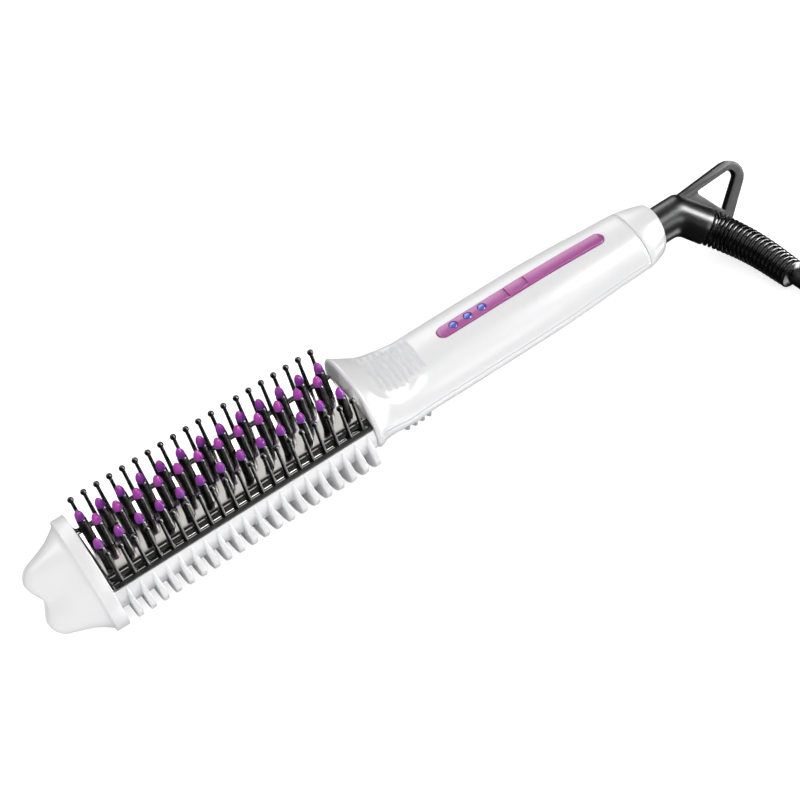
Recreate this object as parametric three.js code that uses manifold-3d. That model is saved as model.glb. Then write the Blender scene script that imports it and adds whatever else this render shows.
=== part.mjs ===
// An electric hair comb: a heated comb head with three rows of soft-tipped bristles
// between two rows of ball-tipped pins, on a handle with a lit control strip, and a mains
// lead on a full-turn swivel.
//
// Millimetres. X runs from the nose to the cord end, Z is up, and the bristles point up.
// The origin is on the table, under the middle of the nose flange.

import * as THREE from 'three';
import { mergeVertices } from 'three/addons/utils/BufferGeometryUtils.js';
import Module from 'manifold-3d';

const wasm = await Module();
wasm.setup();

// Fits
const gap = 0.3; // between faces that touch
const slideGap = 0.35; // round the moving button and the swivel stem
const cutMargin = 1; // how far a cutter runs past the face that it cuts

// Head
const flangeRadius = 25.8;
const flangeWidth = 6;
const restDepth = 0.5; // depth of the flats that the comb lies on
const pinPitch = 6;
const pinCount = 20;
const firstPinX = 8.5;
const stripEnd = 4.2; // from the first pin to the end of its strip
const stripNeckEnd = 3.7; // from the last pin to the neck end of its strip
const coreRadius = 18.9;
const coreWall = 2;
const ribRadius = 25.6;
const ribThickness = 2.4;
const ribTopAngle = 8; // degrees above level where a rib fades into the core
const ribFullAngle = -22; // degrees, where a rib reaches its full radius

// Nose
const noseLength = 21.8;
const noseRootRadius = 24.2;
const noseTaper = 0.27; // share of the radius lost along the ridges
const noseTaperPower = 1.3; // above 1, most of the taper is near the tip
const noseRecess = 3.6; // depth of the tip's middle and valleys below the ends of the lobes
const noseRecessRadius = 7;
const noseLobes = 4;
const noseLobeDepth = 0.36; // share of the radius lost in the valleys at the tip
const noseTipFillet = 5.5;
const noseWall = 2.2;

// Heated plate
const archRadius = 29;
const archTop = 9.5; // crown of the plate above the head axis
const archHalfWidth = 18.2;
const plateWall = 1.5;
const channelHalfWidth = 4.9;
const channelFloor = -1.5;
const channelWall = 1.2;
const channelRoofWall = 0.6;

// Comb strips and their pins
const slatWidth = 7.4;
const slatThickness = 1.6;
const slatY = 15.8; // middle of a slat from the middle plane
const slatZ = 6.2; // middle of a slat above the head axis
const slatTilt = 31; // degrees
const outerRailWidth = 2.8;
const windowHeight = 1.9;
const windowWidth = 3.7;
const endBar = 0.8; // of slat left past the last window
const pinY = 17.2;
const pinDiameter = 1.5;
const pinBallDiameter = 2.7;
const pinBallZ = 24; // ball centres above the head axis

// Bristles
const bristlePitch = 9.43;
const outerBristles = 13;
const middleBristles = 12;
const firstBristleX = 7.84;
const bristleRowY = 8.85;
const bristleDiameter = 3.8;
const tipLength = 5.4;
const outerTipZ = 25.9; // tops of the outer rows above the head axis
const middleTipZ = 28.9;
const holeClearance = 0.35;
const rowRailWidth = 4.4;
const rowRailHeight = 2;
const coreDiameter = 1.4; // soft core that joins each tip to its row's runner
const runnerWidth = 2;
const runnerHeight = 0.8;

// Heater
const stoneCount = 3;
const stoneLength = 30;
const stoneThickness = 2.4;
const electrodeThickness = 0.4;
const sleeveWall = 0.4;
const stackGap = 0.1; // between the heater's flat layers
const shieldWall = 0.8;
const leadDiameter = 1.6;

// Handle
const handleWall = 2;
const facetSag = 0.15; // allowance for the shell's flat facets
const gripZ = 22.3; // height of the handle's axis at the grip
const collarLength = 29.9; // from the neck to the grip
const gripEnd = 90.9; // from the neck to where the handle narrows again
const capLength = 10.7;
const capWall = 3.8;
const capSlant = 12; // degrees that the end leans, its top furthest out
const bulkheadWall = 2;
const grooveCount = 8;
const groovePitch = 2.9;
const firstGrooveX = 137.5;
const grooveRadius = 0.9;
const grooveDepth = 0.5;
const grooveHalfLength = 11.5;
const nubCount = 4;
const nubPitch = 3.6;
const firstNubX = 141.5;
const nubHeight = 1.1;
const nubLength = 12;
const nubWidth = 1.6;

// Control strip
const stripStartX = 171.4;
const stripStopX = 255;
const stripWidth = 6.3;
const stripProud = 0.6;
const stripFlange = 1; // thickness of the hidden flange under the shell
const flangeMargin = 1.2;
const buttonStartX = 206.2;
const buttonLength = 9.4;
const buttonProud = 0.8;
const buttonTravel = 0.8;
const buttonThickness = 1.6;
const buttonStemWidth = 3.4;
const ledCount = 3;
const firstLedX = 179.3;
const ledPitch = 7.15;
const ledDiameter = 3;
const windowDiameter = 3.2;
const windowBar = 0.8; // thickness of the clear bar that joins the windows

// Circuit board
const boardStartX = 169;
const boardLength = 80;
const boardEndRoom = 18; // from the board to the end of the shells
const boardWidth = 21;
const boardThickness = 1.6;
const boardTopZ = 25.4;
const screwDiameter = 2;
const screwHeadDiameter = 4;
const screwHeadHeight = 1.5;
const postDiameter = 5;
const boardScrewInset = 4.5; // from the board's end to its screw
const boardScrewY = 7.6;
const firstShellScrewX = 160;
const lastShellScrewRoom = 7.5; // past the board
const lastShellScrewY = 9.5;

// Swivel
const stemDiameter = 16.4;
const stemZ = 21; // height of the swivel axis
const clipDiameter = 18.6;
const clipThickness = 1.4;
const clipGrooveDepth = 1;
const clipChamberDiameter = 19.3;
const clipSlot = 5; // opening of the clip, so that it springs into its groove
const stemTail = 5; // of stem past the clip
const contactThickness = 0.6;
const contactRingRadius = 5.5; // middle of the ring that the outer finger touches
const elbowRadius = 12;
const elbowRoom = 7.5; // of straight stem between the end cap and the bend
const elbowTurn = 53; // degrees
const elbowLeg = 8.9; // straight length after the bend
const elbowDip = 38; // degrees that the elbow's plane dips below level
const loopDip = 51; // degrees that the loop's plate dips
const loopThickness = 5;

// Strain relief, from the elbow to the cord
const bootRootDiameter = 16;
const bootTipDiameter = 12.8;
const bootRibs = 20;
const bootRibShare = 0.86; // radius between the ribs as a share of a rib's

// Mains lead
const cordDiameter = 7;
const cordSides = 8;
const coilPlace = new THREE.Vector2(91.1, 19.4); // middle of the coil from the strain relief's end
const coilMidRadius = 36;
const coilPitch = 7.7; // from turn to turn and from layer to layer
const coilTurns = 7;
const coilLayers = 2;
const tieThickness = 1;
const tieWidth = 9;
const tieAngle = 140; // degrees round the coil

// Plug
const plugWidth = 48;
const plugLength = 45;
const plugHeight = 20;
const plugCordZ = 9;
const pinSpacing = 22.2; // between the two flat pins, and from them to the earth pin
const plugPlace = new THREE.Vector2(81.3, -7); // start of the plug's grip from the coil's middle
const flatPinSize = [6.3, 4, 17.7]; // wide, deep and long
const earthPinSize = [4, 8, 22.7];
const pinRoot = 8; // of a pin's length that the plug holds
const gripLength = 12;
const fuseDiameter = 6.2;
const fuseLength = 25.2;

// Worked out from the sizes above
const headAxisZ = flangeRadius - restDepth;
const lastPinX = firstPinX + (pinCount - 1) * pinPitch;
const headStartX = flangeWidth / 2 + gap;
const stripX0 = firstPinX - stripEnd;
const stripX1 = lastPinX + stripNeckEnd;
const neckX = stripX1 + gap;
const boardEndX = boardStartX + boardLength;
const handleEndX = boardEndX + boardEndRoom;
const capStartX = handleEndX + gap;
const capEndX = capStartX + capLength; // on the swivel's axis
const capReach = flangeRadius * Math.tan((capSlant * Math.PI) / 180); // longest that the slant adds
const elbowStartX = capEndX + elbowRoom;
const shellScrewPlaces = [
  [firstShellScrewX, 0],
  [boardEndX + lastShellScrewRoom, lastShellScrewY],
];
const archZ = headAxisZ + archTop - archRadius;
const bristleHole = bristleDiameter + 2 * holeClearance;
const channelMidWidth = channelHalfWidth - gap;
const stackHeight = 2 * sleeveWall + 2 * electrodeThickness + stoneThickness + 4 * stackGap;
const channelRoof = channelFloor + stackHeight + 2 * gap;

const radians = THREE.MathUtils.degToRad;
const v3 = (x, y, z) => new THREE.Vector3(x, y, z);
const alongX = new THREE.Matrix4().makeBasis(v3(0, 1, 0), v3(0, 0, 1), v3(1, 0, 0));

// Solids and booleans

function solid(geometry) {
  const bare = geometry.clone();
  bare.deleteAttribute('normal');
  bare.deleteAttribute('uv');
  const merged = mergeVertices(bare, 1e-4);
  const vertProperties = new Float32Array(merged.attributes.position.array);
  const triVerts = new Uint32Array(merged.index.array);
  return new wasm.Manifold(new wasm.Mesh({ numProp: 3, vertProperties, triVerts }));
}

function geometryOf(manifold) {
  const mesh = manifold.getMesh();
  const points = [];
  for (let i = 0; i < mesh.vertProperties.length; i += mesh.numProp) {
    points.push(...mesh.vertProperties.slice(i, i + 3));
  }
  const geometry = new THREE.BufferGeometry();
  geometry.setAttribute('position', new THREE.Float32BufferAttribute(points, 3));
  geometry.setIndex(Array.from(mesh.triVerts));
  return geometry;
}

const join = (pieces) => pieces.reduce((sum, piece) => sum.add(piece));
const cut = (body, cutters) => cutters.reduce((rest, cutter) => rest.subtract(cutter), body);

// Primitives placed in the comb's frame

function box(x0, x1, y0, y1, z0, z1) {
  const geometry = new THREE.BoxGeometry(x1 - x0, y1 - y0, z1 - z0);
  geometry.translate((x0 + x1) / 2, (y0 + y1) / 2, (z0 + z1) / 2);
  return solid(geometry);
}

function rodX(radius, x0, x1, y, z, sides = 16) {
  const geometry = new THREE.CylinderGeometry(radius, radius, x1 - x0, sides);
  geometry.rotateZ(Math.PI / 2);
  geometry.translate((x0 + x1) / 2, y, z);
  return solid(geometry);
}

function rodY(radius, y0, y1, x, z, sides = 12) {
  const geometry = new THREE.CylinderGeometry(radius, radius, y1 - y0, sides);
  geometry.translate(x, (y0 + y1) / 2, z);
  return solid(geometry);
}

function rodZ(radius, z0, z1, x, y, sides = 12) {
  const geometry = new THREE.CylinderGeometry(radius, radius, z1 - z0, sides);
  geometry.rotateX(Math.PI / 2);
  geometry.translate(x, y, (z0 + z1) / 2);
  return solid(geometry);
}

// A profile of (radius, height) pairs turned about Z at (x, y)
function turned(profile, x, y, sides) {
  const points = profile.map(([radius, z]) => new THREE.Vector2(radius, z));
  const geometry = new THREE.LatheGeometry(points, sides);
  geometry.rotateX(Math.PI / 2);
  geometry.translate(x, y, 0);
  return solid(geometry);
}

// A flat outline drawn across the comb, in (y, z), drawn out from x0 to x1
function drawnX(shape, x0, x1, curveSegments = 12) {
  const geometry = new THREE.ExtrudeGeometry(shape, {
    depth: x1 - x0,
    bevelEnabled: false,
    curveSegments,
  });
  geometry.applyMatrix4(alongX);
  geometry.translate(x0, 0, 0);
  return solid(geometry);
}

// A closed skin through rings of points that all run the same way round
function loft(rings) {
  const count = rings[0].length;
  const points = rings.flat();
  const faces = [];
  for (let i = 0; i < rings.length - 1; i += 1) {
    for (let k = 0; k < count; k += 1) {
      const next = (k + 1) % count;
      const [a, b] = [i * count + k, i * count + next];
      faces.push(a, b, a + count, b, b + count, a + count);
    }
  }
  const ends = [0, rings.length - 1];
  for (const end of ends) {
    const middle = rings[end].reduce((sum, p) => sum.add(p), v3(0, 0, 0));
    points.push(middle.divideScalar(count));
    const centre = points.length - 1;
    for (let k = 0; k < count; k += 1) {
      const [a, b] = [end * count + k, end * count + ((k + 1) % count)];
      faces.push(...(end === 0 ? [b, a, centre] : [a, b, centre]));
    }
  }
  const geometry = new THREE.BufferGeometry().setFromPoints(points);
  geometry.setIndex(faces);
  return geometry;
}

// A tube of rings round a path that is nowhere upright, each with its own radius
function ringedTube(stations, sides) {
  const vertical = v3(0, 0, 1);
  const rings = stations.map(({ point, tangent, radius }) => {
    const across = v3(0, 0, 0).crossVectors(tangent, vertical).normalize();
    const up = v3(0, 0, 0).crossVectors(across, tangent).normalize();
    return Array.from({ length: sides }, (_, k) => {
      const turn = (2 * Math.PI * (k + 0.5)) / sides;
      return point
        .clone()
        .addScaledVector(across, -radius * Math.cos(turn))
        .addScaledVector(up, radius * Math.sin(turn));
    });
  });
  return loft(rings);
}

// A round lead along a smooth curve through the given points
function lead(points, diameter, steps, sides = 8) {
  const shape = new THREE.Shape();
  shape.absarc(0, 0, diameter / 2, 0, 2 * Math.PI, false);
  const path = new THREE.CatmullRomCurve3(points, false, 'centripetal');
  return new THREE.ExtrudeGeometry(shape, {
    steps,
    extrudePath: path,
    curveSegments: sides / 2,
  });
}

// Handle form: stations along it give its middle height, and half its height and width

const handleStations = [
  { x: neckX, middle: 27, half: 22, ratio: 1 },
  { x: neckX + 1.3, middle: 27, half: 21.9, ratio: 1 },
  { x: neckX + 2.9, middle: 26.6, half: 21, ratio: 1 },
  { x: neckX + 5.3, middle: 26.2, half: 20.1, ratio: 1 },
  { x: neckX + 9.4, middle: 24.8, half: 18.4, ratio: 1.06 },
  { x: neckX + 14.4, middle: 23.4, half: 16.8, ratio: 1.16 },
  { x: neckX + 21.4, middle: 22.6, half: 15, ratio: 1.28 },
  { x: neckX + collarLength, middle: gripZ + 0.1, half: 13.65, ratio: 1.36 },
  { x: neckX + collarLength + 13, middle: gripZ + 0.1, half: 13.7, ratio: 1.36 },
  { x: neckX + gripEnd, middle: gripZ + 0.1, half: 13.55, ratio: 1.36 },
  { x: handleEndX - 29.6, middle: 22.3, half: 13.05, ratio: 1.35 },
  { x: handleEndX - 15.6, middle: 22.1, half: 12.5, ratio: 1.33 },
  { x: handleEndX, middle: 21.8, half: 12.1, ratio: 1.29 },
  { x: handleEndX + capLength / 2, middle: 21.6, half: 11.8, ratio: 1.2 },
  { x: capEndX + 1, middle: 21.3, half: 11, ratio: 1.03 },
  { x: capEndX + capReach, middle: stemZ, half: 10.3, ratio: 1 },
];

function smoothBetween(key, x) {
  const last = handleStations.length - 1;
  const found = handleStations.findIndex((station) => station.x > x);
  const i = found < 0 ? last - 1 : Math.max(found - 1, 0);
  const [before, a, b, after] = [i - 1, i, i + 1, i + 2].map(
    (n) => handleStations[Math.min(Math.max(n, 0), last)],
  );
  const t = (x - a.x) / (b.x - a.x);
  const slopeA = a === before ? 0 : ((b[key] - before[key]) / (b.x - before.x)) * (b.x - a.x);
  const slopeB = b === after ? 0 : ((after[key] - a[key]) / (after.x - a.x)) * (b.x - a.x);
  const [t2, t3] = [t * t, t * t * t];
  return (
    (2 * t3 - 3 * t2 + 1) * a[key] +
    (t3 - 2 * t2 + t) * slopeA +
    (3 * t2 - 2 * t3) * b[key] +
    (t3 - t2) * slopeB
  );
}

const handleMiddle = (x) => smoothBetween('middle', x);
const handleHalf = (x) => smoothBetween('half', x);
const handleTop = (x) => handleMiddle(x) + handleHalf(x);

function handleUnder(x, y) {
  const wide = handleHalf(x) * smoothBetween('ratio', x);
  return handleMiddle(x) - handleHalf(x) * Math.sqrt(1 - (y / wide) ** 2);
}

function handleRing(x, inset, sides) {
  const half = handleHalf(x);
  const high = half - inset;
  const wide = half * smoothBetween('ratio', x) - inset;
  return Array.from({ length: sides }, (_, k) => {
    const turn = (2 * Math.PI * (k + 0.5)) / sides;
    return v3(x, wide * Math.cos(turn), handleMiddle(x) + high * Math.sin(turn));
  });
}

function handleForm(xs, inset, sides = 22) {
  return solid(loft(xs.map((x) => handleRing(x, inset, sides))));
}

function spaced(x0, x1, count) {
  return Array.from({ length: count }, (_, i) => x0 + ((x1 - x0) * i) / (count - 1));
}

// Nose

function noseRing(x, share) {
  const sides = 6 * noseLobes;
  const filletStart = 1 - noseTipFillet / noseLength;
  const late = Math.max(0, (share - filletStart) / (1 - filletStart));
  const fillet = noseTipFillet * (1 - Math.sqrt(1 - late * late));
  const ridge = noseRootRadius * (1 - noseTaper * share ** noseTaperPower) - fillet;
  const valley = noseLobeDepth * Math.sin((Math.PI / 2) * share);
  return Array.from({ length: sides }, (_, k) => {
    const turn = (2 * Math.PI * k) / sides;
    const lobe = (1 - Math.cos(noseLobes * turn)) / 2;
    const radius = ridge * (1 - valley * lobe);
    const back = noseRecess * lobe * late ** 2;
    return v3(x + back, radius * Math.cos(turn), headAxisZ + radius * Math.sin(turn));
  });
}

// The ring round the middle of the tip, set back below the lobes
function noseDish(x) {
  return noseRing(x, 1).map((point) => {
    const out = v3(0, point.y, point.z - headAxisZ).setLength(noseRecessRadius);
    return v3(x + noseRecess, out.y, headAxisZ + out.z);
  });
}

function noseCap() {
  const root = -flangeWidth / 2;
  const shares = [0, 0.3, 0.6, 0.78, 0.88, 0.96, 0.995];
  const rings = shares.map((share) => noseRing(root - noseLength * share, share));
  const dish = noseDish(root - noseLength);
  const taper = solid(loft([noseRing(root + cutMargin, 0), ...rings, dish].reverse()));
  const flange = rodX(flangeRadius, root, flangeWidth / 2, 0, headAxisZ, 44);
  const hollowEnd = root - noseLength + noseRecess + noseWall * 2;
  const hollowRadius = coreRadius - coreWall - noseWall;
  const hollow = solid(
    new THREE.CylinderGeometry(hollowRadius * 0.5, hollowRadius, -hollowEnd + flangeWidth, 20)
      .rotateZ(Math.PI / 2)
      .translate((hollowEnd + flangeWidth) / 2, 0, headAxisZ),
  );
  return cut(taper.add(flange), [hollow, belowTable()]);
}

// Everything under the table's top, for the flats that the comb lies on
function belowTable() {
  const reach = 2 * flangeRadius;
  return box(-noseLength - reach, capEndX, -reach, reach, -reach, 0);
}

// Head shell: a half-round core with cooling ribs under it

function ribShape() {
  const shape = new THREE.Shape();
  const rim = (angle, radius) => [
    radius * Math.cos(radians(angle)),
    headAxisZ + radius * Math.sin(radians(angle)),
  ];
  shape.moveTo(...rim(ribTopAngle, coreRadius));
  shape.lineTo(...rim(ribFullAngle, ribRadius));
  const full = radians(ribFullAngle);
  shape.absarc(0, headAxisZ, ribRadius, full, Math.PI - full - 2 * Math.PI, true);
  shape.lineTo(...rim(180 - ribTopAngle, coreRadius));
  const steps = 5;
  for (let i = 0; i <= steps; i += 1) {
    shape.lineTo(...rim(180 + (180 * i) / steps, coreRadius - coreWall / 2));
  }
  return shape;
}

function headShell() {
  const topZ = headAxisZ + shellRimZ();
  const x0 = headStartX;
  const x1 = stripX1;
  const core = rodX(coreRadius, x0, x1, 0, headAxisZ, 16);
  const bore = rodX(coreRadius - coreWall, x0 - cutMargin, x1 + cutMargin, 0, headAxisZ, 16);
  const above = box(x0 - cutMargin, x1 + cutMargin, -ribRadius, ribRadius, topZ, topZ + ribRadius);
  const rib = ribShape();
  const ribs = Array.from({ length: pinCount }, (_, i) => {
    const x = firstPinX + i * pinPitch - ribThickness / 2;
    return drawnX(rib, x, x + ribThickness, 6);
  });
  return cut(join([cut(core, [bore]), ...ribs]), [above, belowTable()]);
}

// The rim of the head shell, a gap below the plate's edge
function shellRimZ() {
  const inner = archRadius - plateWall;
  const edge = Math.sqrt(inner * inner - archHalfWidth * archHalfWidth);
  return archTop - archRadius + edge - 1.3 * gap;
}

function heatShield() {
  const outer = coreRadius - coreWall - gap;
  const [x0, x1] = [headStartX + cutMargin, stripX1 - cutMargin];
  const tube = rodX(outer, x0, x1, 0, headAxisZ, 24);
  const bore = rodX(outer - shieldWall, x0 - cutMargin, x1 + cutMargin, 0, headAxisZ, 24);
  const topZ = headAxisZ + channelFloor;
  const above = box(x0 - cutMargin, x1 + cutMargin, -outer, outer, topZ, topZ + 2 * outer);
  return cut(tube, [bore, above]);
}

// Heated plate: an arched aluminium section with a channel for the heater

function archShape() {
  const shape = new THREE.Shape();
  const outer = Math.asin(archHalfWidth / archRadius);
  const inner = Math.asin(archHalfWidth / (archRadius - plateWall));
  const up = Math.PI / 2;
  shape.absarc(0, archZ, archRadius, up - outer, up + outer, false);
  shape.absarc(0, archZ, archRadius - plateWall, up + inner, up - inner, true);
  return shape;
}

function bristlePlaces() {
  const outer = spacedBy(firstBristleX, bristlePitch, outerBristles);
  const middle = spacedBy(firstBristleX + bristlePitch / 2, bristlePitch, middleBristles);
  return [
    ...outer.flatMap((x) => [[x, -bristleRowY], [x, bristleRowY]]),
    ...middle.map((x) => [x, 0]),
  ];
}

function spacedBy(first, pitch, count) {
  return Array.from({ length: count }, (_, i) => first + i * pitch);
}

function heatPlate() {
  const [x0, x1] = [stripX0, stripX1];
  const arch = drawnX(archShape(), x0, x1, 6);
  const outside = channelHalfWidth + channelWall;
  const top = archZ + Math.sqrt((archRadius - plateWall) ** 2 - outside ** 2) + plateWall / 2;
  const legs = [-1, 1].map((side) => {
    const [a, b] = [side * channelHalfWidth, side * outside].sort((p, q) => p - q);
    return box(x0, x1, a, b, headAxisZ + channelFloor, top);
  });
  const floorZ = headAxisZ + channelFloor;
  const roofZ = headAxisZ + channelRoof;
  const web = box(x0, x1, -outside, outside, floorZ - channelWall, floorZ);
  const roof = box(x0, x1, -outside, outside, roofZ, roofZ + channelRoofWall);
  const holes = bristlePlaces().map(([x, y]) =>
    rodZ(bristleHole / 2, headAxisZ + channelRoof + channelWall, headAxisZ + archRadius, x, y, 6),
  );
  return cut(join([arch, ...legs, web, roof]), holes);
}

// Comb strip: a ladder-like slat with a row of ball-tipped pins

function pinProfile(baseZ) {
  const [shaft, ball] = [pinDiameter / 2, pinBallDiameter / 2];
  const middle = headAxisZ + pinBallZ;
  const meet = Math.sqrt(ball * ball - shaft * shaft);
  return [
    [0, baseZ],
    [shaft, baseZ],
    [shaft, middle - meet],
    [ball, middle - ball * 0.4],
    [ball, middle + ball * 0.4],
    [0, middle + ball],
  ];
}

function combStrip(side) {
  const [x0, x1] = [stripX0, stripX1];
  const tilt = radians(slatTilt);
  const slatShape = new THREE.Shape();
  const corners = [[-1, -1], [1, -1], [1, 1], [-1, 1]].map(([across, up]) =>
    new THREE.Vector2((across * slatWidth) / 2, (up * slatThickness) / 2)
      .rotateAround(new THREE.Vector2(0, 0), tilt)
      .add(new THREE.Vector2(-slatY, headAxisZ + slatZ)),
  );
  slatShape.setFromPoints(corners);
  const slat = drawnX(slatShape, x0, x1);
  const windowMiddle = -slatWidth / 2 + outerRailWidth + windowHeight / 2;
  const windows = spacedBy(firstPinX - pinPitch / 2, pinPitch, pinCount + 1).map((x) => {
    const start = x - windowWidth / 2;
    const wide = Math.min(windowWidth, x1 - endBar - start);
    const hole = new THREE.BoxGeometry(wide, windowHeight, 3 * slatThickness);
    hole.translate(0, windowMiddle, 0);
    hole.rotateX(tilt);
    hole.translate(start + wide / 2, -slatY, headAxisZ + slatZ);
    return solid(hole);
  });
  const railZ = headAxisZ + slatZ + (slatY - pinY) * Math.tan(tilt);
  const pins = spacedBy(firstPinX, pinPitch, pinCount).map((x) =>
    turned(pinProfile(railZ), x, -pinY, 5),
  );
  const strip = join([cut(slat, windows), ...pins]);
  return side < 0 ? strip : strip.mirror([0, 1, 0]);
}

// Bristle rows: a rail under the plate with hollow bristles standing through its holes, and a
// soft moulding whose cores run up through the bristles to the tips

function rowRailTop(y) {
  const inner = archRadius - plateWall;
  const reach = Math.abs(y) + rowRailWidth / 2;
  return archZ + Math.sqrt(inner * inner - reach * reach) - gap;
}

function bristleRow(xs, y, topZ) {
  const railTop = rowRailTop(y);
  const [x0, x1] = [xs[0] - rowRailWidth / 2, xs[xs.length - 1] + rowRailWidth / 2];
  const half = rowRailWidth / 2;
  const rail = box(x0, x1, y - half, y + half, railTop - rowRailHeight, railTop);
  const shaftTop = topZ - tipLength;
  const bore = coreDiameter / 2 + 1.5 * gap;
  const shafts = xs.map((x) => rodZ(bristleDiameter / 2, railTop - gap, shaftTop, x, y, 6));
  const bores = xs.map((x) => rodZ(bore, railTop - 2 * rowRailHeight, topZ, x, y, 4));
  return cut(join([rail, ...shafts]), bores);
}

function bristleTips(xs, y, topZ) {
  const radius = bristleDiameter / 2;
  const base = topZ - tipLength + gap;
  const railBottom = rowRailTop(y) - rowRailHeight;
  const half = runnerWidth / 2;
  const [x0, x1] = [xs[0] - half, xs[xs.length - 1] + half];
  const runnerTop = railBottom - gap;
  const runner = box(x0, x1, y - half, y + half, runnerTop - runnerHeight, runnerTop);
  const profile = [[0, base], [radius, base], [radius, topZ - radius * 1.2], [0, topZ]];
  const core = coreDiameter / 2;
  const cores = xs.map((x) => rodZ(core, runnerTop - runnerHeight / 2, base + radius, x, y, 4));
  return join([runner, ...cores, ...xs.map((x) => turned(profile, x, y, 6))]);
}

// Heater: ceramic stones between two electrodes in an insulating sleeve

const sleeveBottom = headAxisZ + channelFloor + gap;
const sleeveTop = sleeveBottom + stackHeight;
const heaterX0 = stripX0 + 8;
const heaterX1 = stripX1 - 8;

function heaterSleeve() {
  const outer = box(heaterX0, heaterX1, -channelMidWidth, channelMidWidth, sleeveBottom, sleeveTop);
  const inside = channelMidWidth - sleeveWall;
  const [z0, z1] = [sleeveBottom + sleeveWall, sleeveTop - sleeveWall];
  return cut(outer, [
    box(heaterX0 - cutMargin, heaterX1 + cutMargin, -inside, inside, z0, z1),
  ]);
}

const electrodeHalfWidth = channelMidWidth - sleeveWall - gap;
const lowerElectrodeZ = sleeveBottom + sleeveWall + stackGap;
const stoneZ = lowerElectrodeZ + electrodeThickness + stackGap;
const upperElectrodeZ = stoneZ + stoneThickness + stackGap;

function electrode(z) {
  const half = electrodeHalfWidth;
  const tabX = heaterX1 + 3;
  const strip = box(heaterX0 + 2, heaterX1, -half, half, z, z + electrodeThickness);
  const side = z === lowerElectrodeZ ? -1 : 1;
  const [a, b] = [side * 1, side * (half - 0.2)].sort((p, q) => p - q);
  return strip.add(box(heaterX1 - 1, tabX, a, b, z, z + electrodeThickness));
}

function ceramicStone(index) {
  const pitch = (heaterX1 - heaterX0 - 6) / stoneCount;
  const x = heaterX0 + 3 + (pitch - stoneLength) / 2 + index * pitch;
  const half = electrodeHalfWidth - 0.4;
  return box(x, x + stoneLength, -half, half, stoneZ, stoneZ + stoneThickness);
}

const webUnderZ = headAxisZ + channelFloor - channelWall;

function thermalFuse() {
  const radius = 1.9;
  const z = webUnderZ - gap - radius;
  const body = rodX(radius, 58, 69, 0, z, 12);
  return join([body, rodX(0.5, 53, 74, 0, z, 6)]);
}

function thermistor() {
  const radius = 1.3;
  return rodX(radius, 88, 93, 0, webUnderZ - gap - radius, 10);
}

function heaterLead(side, z) {
  const startX = heaterX1 + 3 + gap;
  const y = side * 2.2;
  const boardEnd = boardStartX - gap;
  const route = [
    v3(startX, y, z),
    v3(startX + 8, y * 1.1, z - 0.4),
    v3(startX + 20, y * 1.5, boardTopZ - 1.6),
    v3(boardEnd - 12, y * 2, boardTopZ - boardThickness / 2),
    v3(boardEnd, y * 2, boardTopZ - boardThickness / 2),
  ];
  return lead(route, leadDiameter, 8, 6);
}

// Handle shells

const splitZ = gripZ;
const shellXs = [
  ...spaced(neckX, neckX + collarLength, 8),
  neckX + collarLength + 19,
  neckX + gripEnd,
  handleEndX - 29.6,
  handleEndX,
];

function handleTube() {
  const outer = handleForm(shellXs, 0);
  const xs = [
    ...spaced(neckX + bulkheadWall, neckX + collarLength, 5),
    ...shellXs.filter((x) => x > neckX + collarLength && x < handleEndX),
    handleEndX + cutMargin,
  ];
  return cut(outer, [handleForm(xs, handleWall)]);
}

function leadPassage() {
  return box(
    neckX - cutMargin,
    neckX + bulkheadWall + cutMargin,
    -channelHalfWidth,
    channelHalfWidth,
    headAxisZ - 6,
    headAxisZ + channelRoof,
  );
}

function halfSpace(above) {
  const reach = 3 * flangeRadius;
  const [x0, x1] = [neckX - reach, capEndX + reach];
  return above
    ? box(x0, x1, -reach, reach, splitZ + gap / 2, splitZ + reach)
    : box(x0, x1, -reach, reach, splitZ - reach, splitZ - gap / 2);
}

function grooves() {
  return spacedBy(firstGrooveX, groovePitch, grooveCount).map((x) =>
    rodY(
      grooveRadius,
      -grooveHalfLength,
      grooveHalfLength,
      x,
      handleTop(x) - grooveDepth + grooveRadius,
      8,
    ),
  );
}

// A slot with round ends that follows the top of the handle, from drop0 to drop1 below it
function topRibbon(x0, x1, width, drop0, drop1, roundStart = true, roundEnd = true) {
  const half = width / 2;
  const outline = [];
  const arc = (centreX, from, count) => {
    for (let i = 0; i <= count; i += 1) {
      const turn = from + (Math.PI * i) / count;
      outline.push(new THREE.Vector2(centreX + half * Math.cos(turn), half * Math.sin(turn)));
    }
  };
  const startX = roundStart ? x0 + half : x0;
  const endX = roundEnd ? x1 - half : x1;
  const steps = Math.max(1, Math.round((endX - startX) / 10));
  if (roundEnd) arc(endX, -Math.PI / 2, 6);
  else outline.push(new THREE.Vector2(endX, -half), new THREE.Vector2(endX, half));
  for (let i = steps - 1; i > 0; i -= 1) {
    outline.push(new THREE.Vector2(startX + ((endX - startX) * i) / steps, half));
  }
  if (roundStart) arc(startX, Math.PI / 2, 6);
  else outline.push(new THREE.Vector2(startX, half), new THREE.Vector2(startX, -half));
  for (let i = 1; i < steps; i += 1) {
    outline.push(new THREE.Vector2(startX + ((endX - startX) * i) / steps, -half));
  }
  const geometry = new THREE.ExtrudeGeometry(new THREE.Shape(outline), {
    depth: drop0 - drop1,
    bevelEnabled: false,
  });
  geometry.translate(0, 0, -drop0);
  const position = geometry.attributes.position;
  for (let i = 0; i < position.count; i += 1) {
    position.setZ(i, position.getZ(i) + handleTop(position.getX(i)));
  }
  return solid(geometry);
}

function boardScrewPlaces() {
  const inset = boardScrewInset;
  return [
    [boardStartX + inset, -boardScrewY],
    [boardEndX - inset, boardScrewY],
  ];
}

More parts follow.
